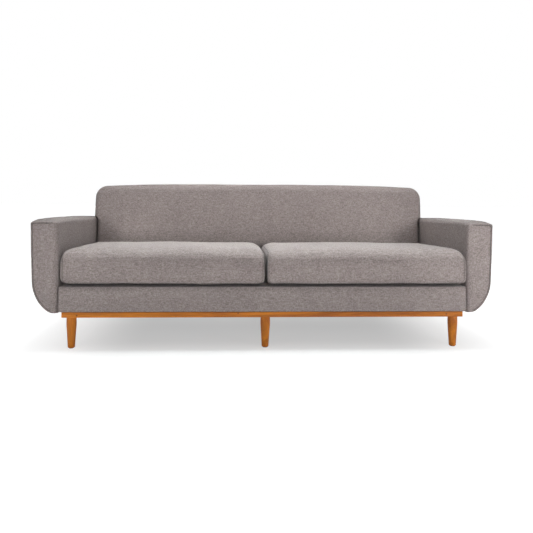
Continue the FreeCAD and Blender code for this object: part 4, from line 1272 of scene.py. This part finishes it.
def zip_parts(side):
    """A coil zip: its tape, its teeth, and its slider with a pull."""
    rings = []
    for x in np.linspace(-ZIP_END, ZIP_END, 60):
        rings.append(np.array([in_zip(ZIP_MIDDLE + x, up, out) for up, out in TAPE_SECTION]))
    tape = closed_loft(f"{side}_zip_tape", rings)
    tape.data.materials.append(zip_tape)
    rings = []
    for up, reach in TOOTH:
        ring = []
        for angle in np.linspace(0, 2 * math.pi, 6, endpoint=False):
            away, out = 0.00075 * reach * math.cos(angle), 0.0008 * reach * math.sin(angle)
            ring.append(in_zip(away, up, 0.0012 + out) - in_zip(0, 0, 0))
        rings.append(np.array(ring))
    tooth = closed_loft(f"{side}_zip_tooth", rings)
    ends = [in_zip(ZIP_MIDDLE - ZIP_END + 0.01, 0, 0), in_zip(ZIP_MIDDLE + ZIP_END - 0.01, 0, 0)]
    teeth = set_in_rows(f"{side}_zip_teeth", [ends], tooth, 0.0024, zip_coil)
    place = ZIP_MIDDLE + ZIP_END - 0.024
    slider = rounded_plate(f"{side}_zip_slider", place, 0.0, 0.0065, 0.0048, 0.0004, 0.0034)
    pull = rounded_plate(f"{side}_zip_pull", place, -0.0110, 0.0034, 0.0105, 0.0034, 0.0044)
    for piece in (slider, pull):
        piece.data.materials.append(steel)
    return tape, teeth, slider, pull


cushion_base = cushion_form("cushion_case")
stuffed(cushion_base)
smoothed(cushion_base, 2)
refine = cushion_base.modifiers.new("refine", "SUBSURF")
refine.levels = 1
even_mesh = evaluated(cushion_base)
bpy.data.objects.remove(cushion_base)
for side, sign, outer_limit, bulge, seed in SIDES:
    points = points_of(even_mesh)
    facing = points_of(even_mesh, "normal")
    x, y, z = points.T
    roll = clamped((-0.30 - y) / 0.06) * clamped((z - 0.40) / 0.03)
    creases = uneven(points * (0.16, 1, 1), 0.011, 0.0016, seed) * roll
    soft = uneven(points, 0.24, 0.0036, seed + 1) + uneven(points, 0.07, 0.0018, seed + 2)
    flank = uneven(points * (1, 1, 0.4), 0.05, 0.0022, seed + 3)
    points = points + facing * (soft + creases + flank * 0.5)[:, None]
    x, y, z = points.T
    inner = CUSHION_INNER - 0.0018
    stretch = (outer_limit - inner) / (x.max() - x.min())
    x[:] = inner + (x - x.min()) * stretch
    before_arm = clamped((-0.412 - y) / 0.016) * clamped((x - 0.90) / 0.09)
    arm_face = ARM_INSIDE - 0.002 + inner_draw(np.maximum(y, ARM_FRONT))
    x[:] = np.minimum(x + bulge * before_arm, np.maximum(arm_face, outer_limit))
    sag = 0.0022 * np.sin(x * 9.0 + seed) + 0.0015 * np.sin(x * 23.0 + 2 * seed)
    lifted = clamped((-0.37 - y) / 0.06) * clamped((0.40 - z) / 0.08)
    toward_ends = ((x - ZIP_MIDDLE) / 0.49) ** 2
    z += (FRONT_LIFT + END_LIFT * toward_ends + sag) * lifted
    z[:] = np.maximum(z, CUSHION_BASE + 0.0002)
    near_zip = clamped((0.024 - np.abs(z - ZIP_LEVEL)) / 0.008)
    near_zip = near_zip * clamped((ZIP_END + 0.012 - np.abs(x - ZIP_MIDDLE)) / 0.008)
    rear_limit = BACK_FACE - 0.0015 + (z - DECK_LEVEL) * math.tan(lean) - ZIP_SINK * near_zip
    y[:] = np.maximum(np.minimum(y, rear_limit), CUSHION_FRONT - 0.013)
    mesh = even_mesh.copy()
    mesh.name = f"{side}_seat_cushion_cloth"
    mesh.vertices.foreach_set("co", points.ravel())
    mesh.update()
    seam, path = seam_roll(f"{side}_seat_cushion_seam", seam_course(mesh))
    distance = away_from(points, path)
    points -= points_of(mesh, "normal") * (SEAM_SINK * bell(distance, 0.0055))[:, None]
    mesh.vertices.foreach_set("co", points.ravel())
    mesh.update()
    for half in (mesh, seam.data):
        on_side(half, sign)
    mesh.materials.clear()
    cushion = placed(f"{side}_seat_cushion_cloth", mesh)
    # Painted shade: the sides and underside are darkened behind the front edge, the foot of the front a
    # little, and the cloth along the seam.
    beside = 0.72 * clamped((np.abs(facing[:, 0]) - 0.76) / 0.16)
    beneath = 0.95 * clamped((-facing[:, 2] - 0.70) / 0.16)
    behind_edge = clamped((y + 0.438) / 0.012) * soft_step((-0.31 - y) / 0.10)
    painted_gap_shade = np.maximum(beside, beneath) * behind_edge
    low_front = 0.13 * soft_step((CUSHION_BASE + 0.060 - z) / 0.05) * (y < -0.38)
    painted_shade_at_seam = 0.35 * painted_seam_shade(distance, 0.006)
    shaded(cushion, np.maximum(np.maximum(painted_shade_at_seam, low_front), painted_gap_shade))
    for piece in (cushion, seam):
        piece.data.materials.append(tweed)
    seam.parent = cushion
    for piece in zip_parts(side):
        on_side(piece.data, sign)
        piece.parent = cushion
    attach(cushion, f"{side}_seat_cushion")
    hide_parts(f"{side}_cushion_cover", f"{side}_cushion_core")

# Studio
# A white floor that runs on without an edge. For the camera and in reflections it glows white, with a
# painted shadow round the sofa where the glow is weaker, and to the camera its own colour is darker than
# to other light. Soft lights hang above the seat and the back and stand before the sofa, at its sides
# and behind it.

FLOOR_GLOW = 0.467
SHADE_CORE = (0.61, 0.27, 0)
SHADE_STRETCH = (0.73, 1, 0)
SHADE_REACH = 0.60
floor_mesh = bpy.data.meshes.new("floor")
floor_mesh.from_pydata([(-20, -12, 0), (20, -12, 0), (20, 26, 0), (-20, 26, 0)], [], [(0, 1, 2, 3)])
floor = added("floor", floor_mesh)
floor_paint, shader = new_material("floor_paint", (0.86, 0.86, 0.86), Roughness=0.8)
tree = floor_paint.node_tree
# Painted shadow: for camera rays and reflections the floor's glow rises from FLOOR_GLOW round the sofa's
# footprint to full white beyond it.
folded = vectors(tree, "ABSOLUTE", tree.nodes.new("ShaderNodeTexCoord").outputs["Object"])
past = vectors(tree, "MAXIMUM", vectors(tree, "SUBTRACT", folded, SHADE_CORE), (0, 0, 0))
away = vectors(tree, "LENGTH", vectors(tree, "MULTIPLY", past, SHADE_STRETCH))
rise = spanned(tree, away, 0.0, SHADE_REACH, FLOOR_GLOW, "SMOOTHSTEP")
rays = tree.nodes.new("ShaderNodeLightPath")
seen = sums(tree, "MAXIMUM", rays.outputs["Is Camera Ray"], rays.outputs["Is Glossy Ray"])
inputs = [("Color", (1, 1, 1, 1)), ("Strength", sums(tree, "MULTIPLY", seen, rise))]
glow = node_in(tree, "ShaderNodeEmission", inputs)
pale = blend(tree, seen, (0.72, 0.72, 0.72, 1), (0.30, 0.30, 0.30, 1))
tree.links.new(pale, shader.inputs["Base Color"])
summed = node_in(tree, "ShaderNodeAddShader", [(0, shader.outputs[0]), (1, glow.outputs[0])])
tree.links.new(summed.outputs[0], tree.nodes["Material Output"].inputs["Surface"])
floor_mesh.materials.append(floor_paint)

world = bpy.data.worlds.new("studio")
bpy.context.scene.world = world
world.use_nodes = True
tree = world.node_tree
tree.nodes.clear()
dim = node_in(tree, "ShaderNodeBackground", [("Color", (0.95, 0.97, 1.0, 1)), ("Strength", 0.15)])
white = node_in(tree, "ShaderNodeBackground", [("Color", (1, 1, 1, 1)), ("Strength", 1.0)])
seen = tree.nodes.new("ShaderNodeLightPath").outputs["Is Camera Ray"]
mixed = node_in(tree, "ShaderNodeMixShader", [(0, seen), (1, dim.outputs[0]), (2, white.outputs[0])])
node_in(tree, "ShaderNodeOutputWorld", [("Surface", mixed.outputs[0])])


def soft_light(name, place, aim, width, depth, watts, spread=180, colour=(1, 1, 1)):
    """A rectangular light at a place, aimed at a point, its spread in degrees."""
    data = bpy.data.lights.new(name, "AREA")
    data.color = colour
    data.spread = math.radians(spread)
    data.shape = "RECTANGLE"
    data.size = width
    data.size_y = depth
    data.energy = watts
    lamp = added(name, data)
    lamp.location = place
    lamp.rotation_euler = (Vector(aim) - Vector(place)).to_track_quat("-Z", "Y").to_euler()


cool = (0.90, 1.0, 1.0)
soft_light("overhead", (0.0, 0.25, 2.9), (0.0, 0.18, 0.3), 2.2, 0.8, 8.8, spread=75)
soft_light("over_seat", (0.0, -0.22, 2.6), (0.0, -0.22, 0.3), 2.0, 0.3, 4.3, spread=28, colour=cool)
soft_light("over_back", (0.0, -1.6, 2.4), (0.0, 0.22, 0.78), 1.8, 0.2, 0.5, spread=16)
soft_light("front", (0.2, -3.6, 1.4), (0.0, -0.4, 0.35), 1.4, 0.8, 16)
soft_light("low_front", (0.0, -2.6, 0.40), (0.0, -0.44, 0.36), 1.8, 0.2, 0.4, spread=12)
soft_light("right", (2.3, -2.5, 1.1), (1.0, -0.4, 0.4), 0.8, 1.2, 20)
soft_light("left", (-2.3, -2.5, 1.1), (-1.0, -0.4, 0.4), 0.8, 1.2, 10)
soft_light("rear", (0.6, 3.6, 1.9), (0.0, 0.4, 0.45), 1.6, 1.0, 30)
soft_light("right_arm_front", (1.6, -2.3, 0.75), (1.09, -0.44, 0.45), 0.3, 0.6, 0.4, spread=20)
soft_light("left_arm_front", (-1.6, -2.3, 0.75), (-1.09, -0.44, 0.45), 0.3, 0.6, 0.3, spread=20)

bpy.context.scene.view_settings.view_transform = "Standard"
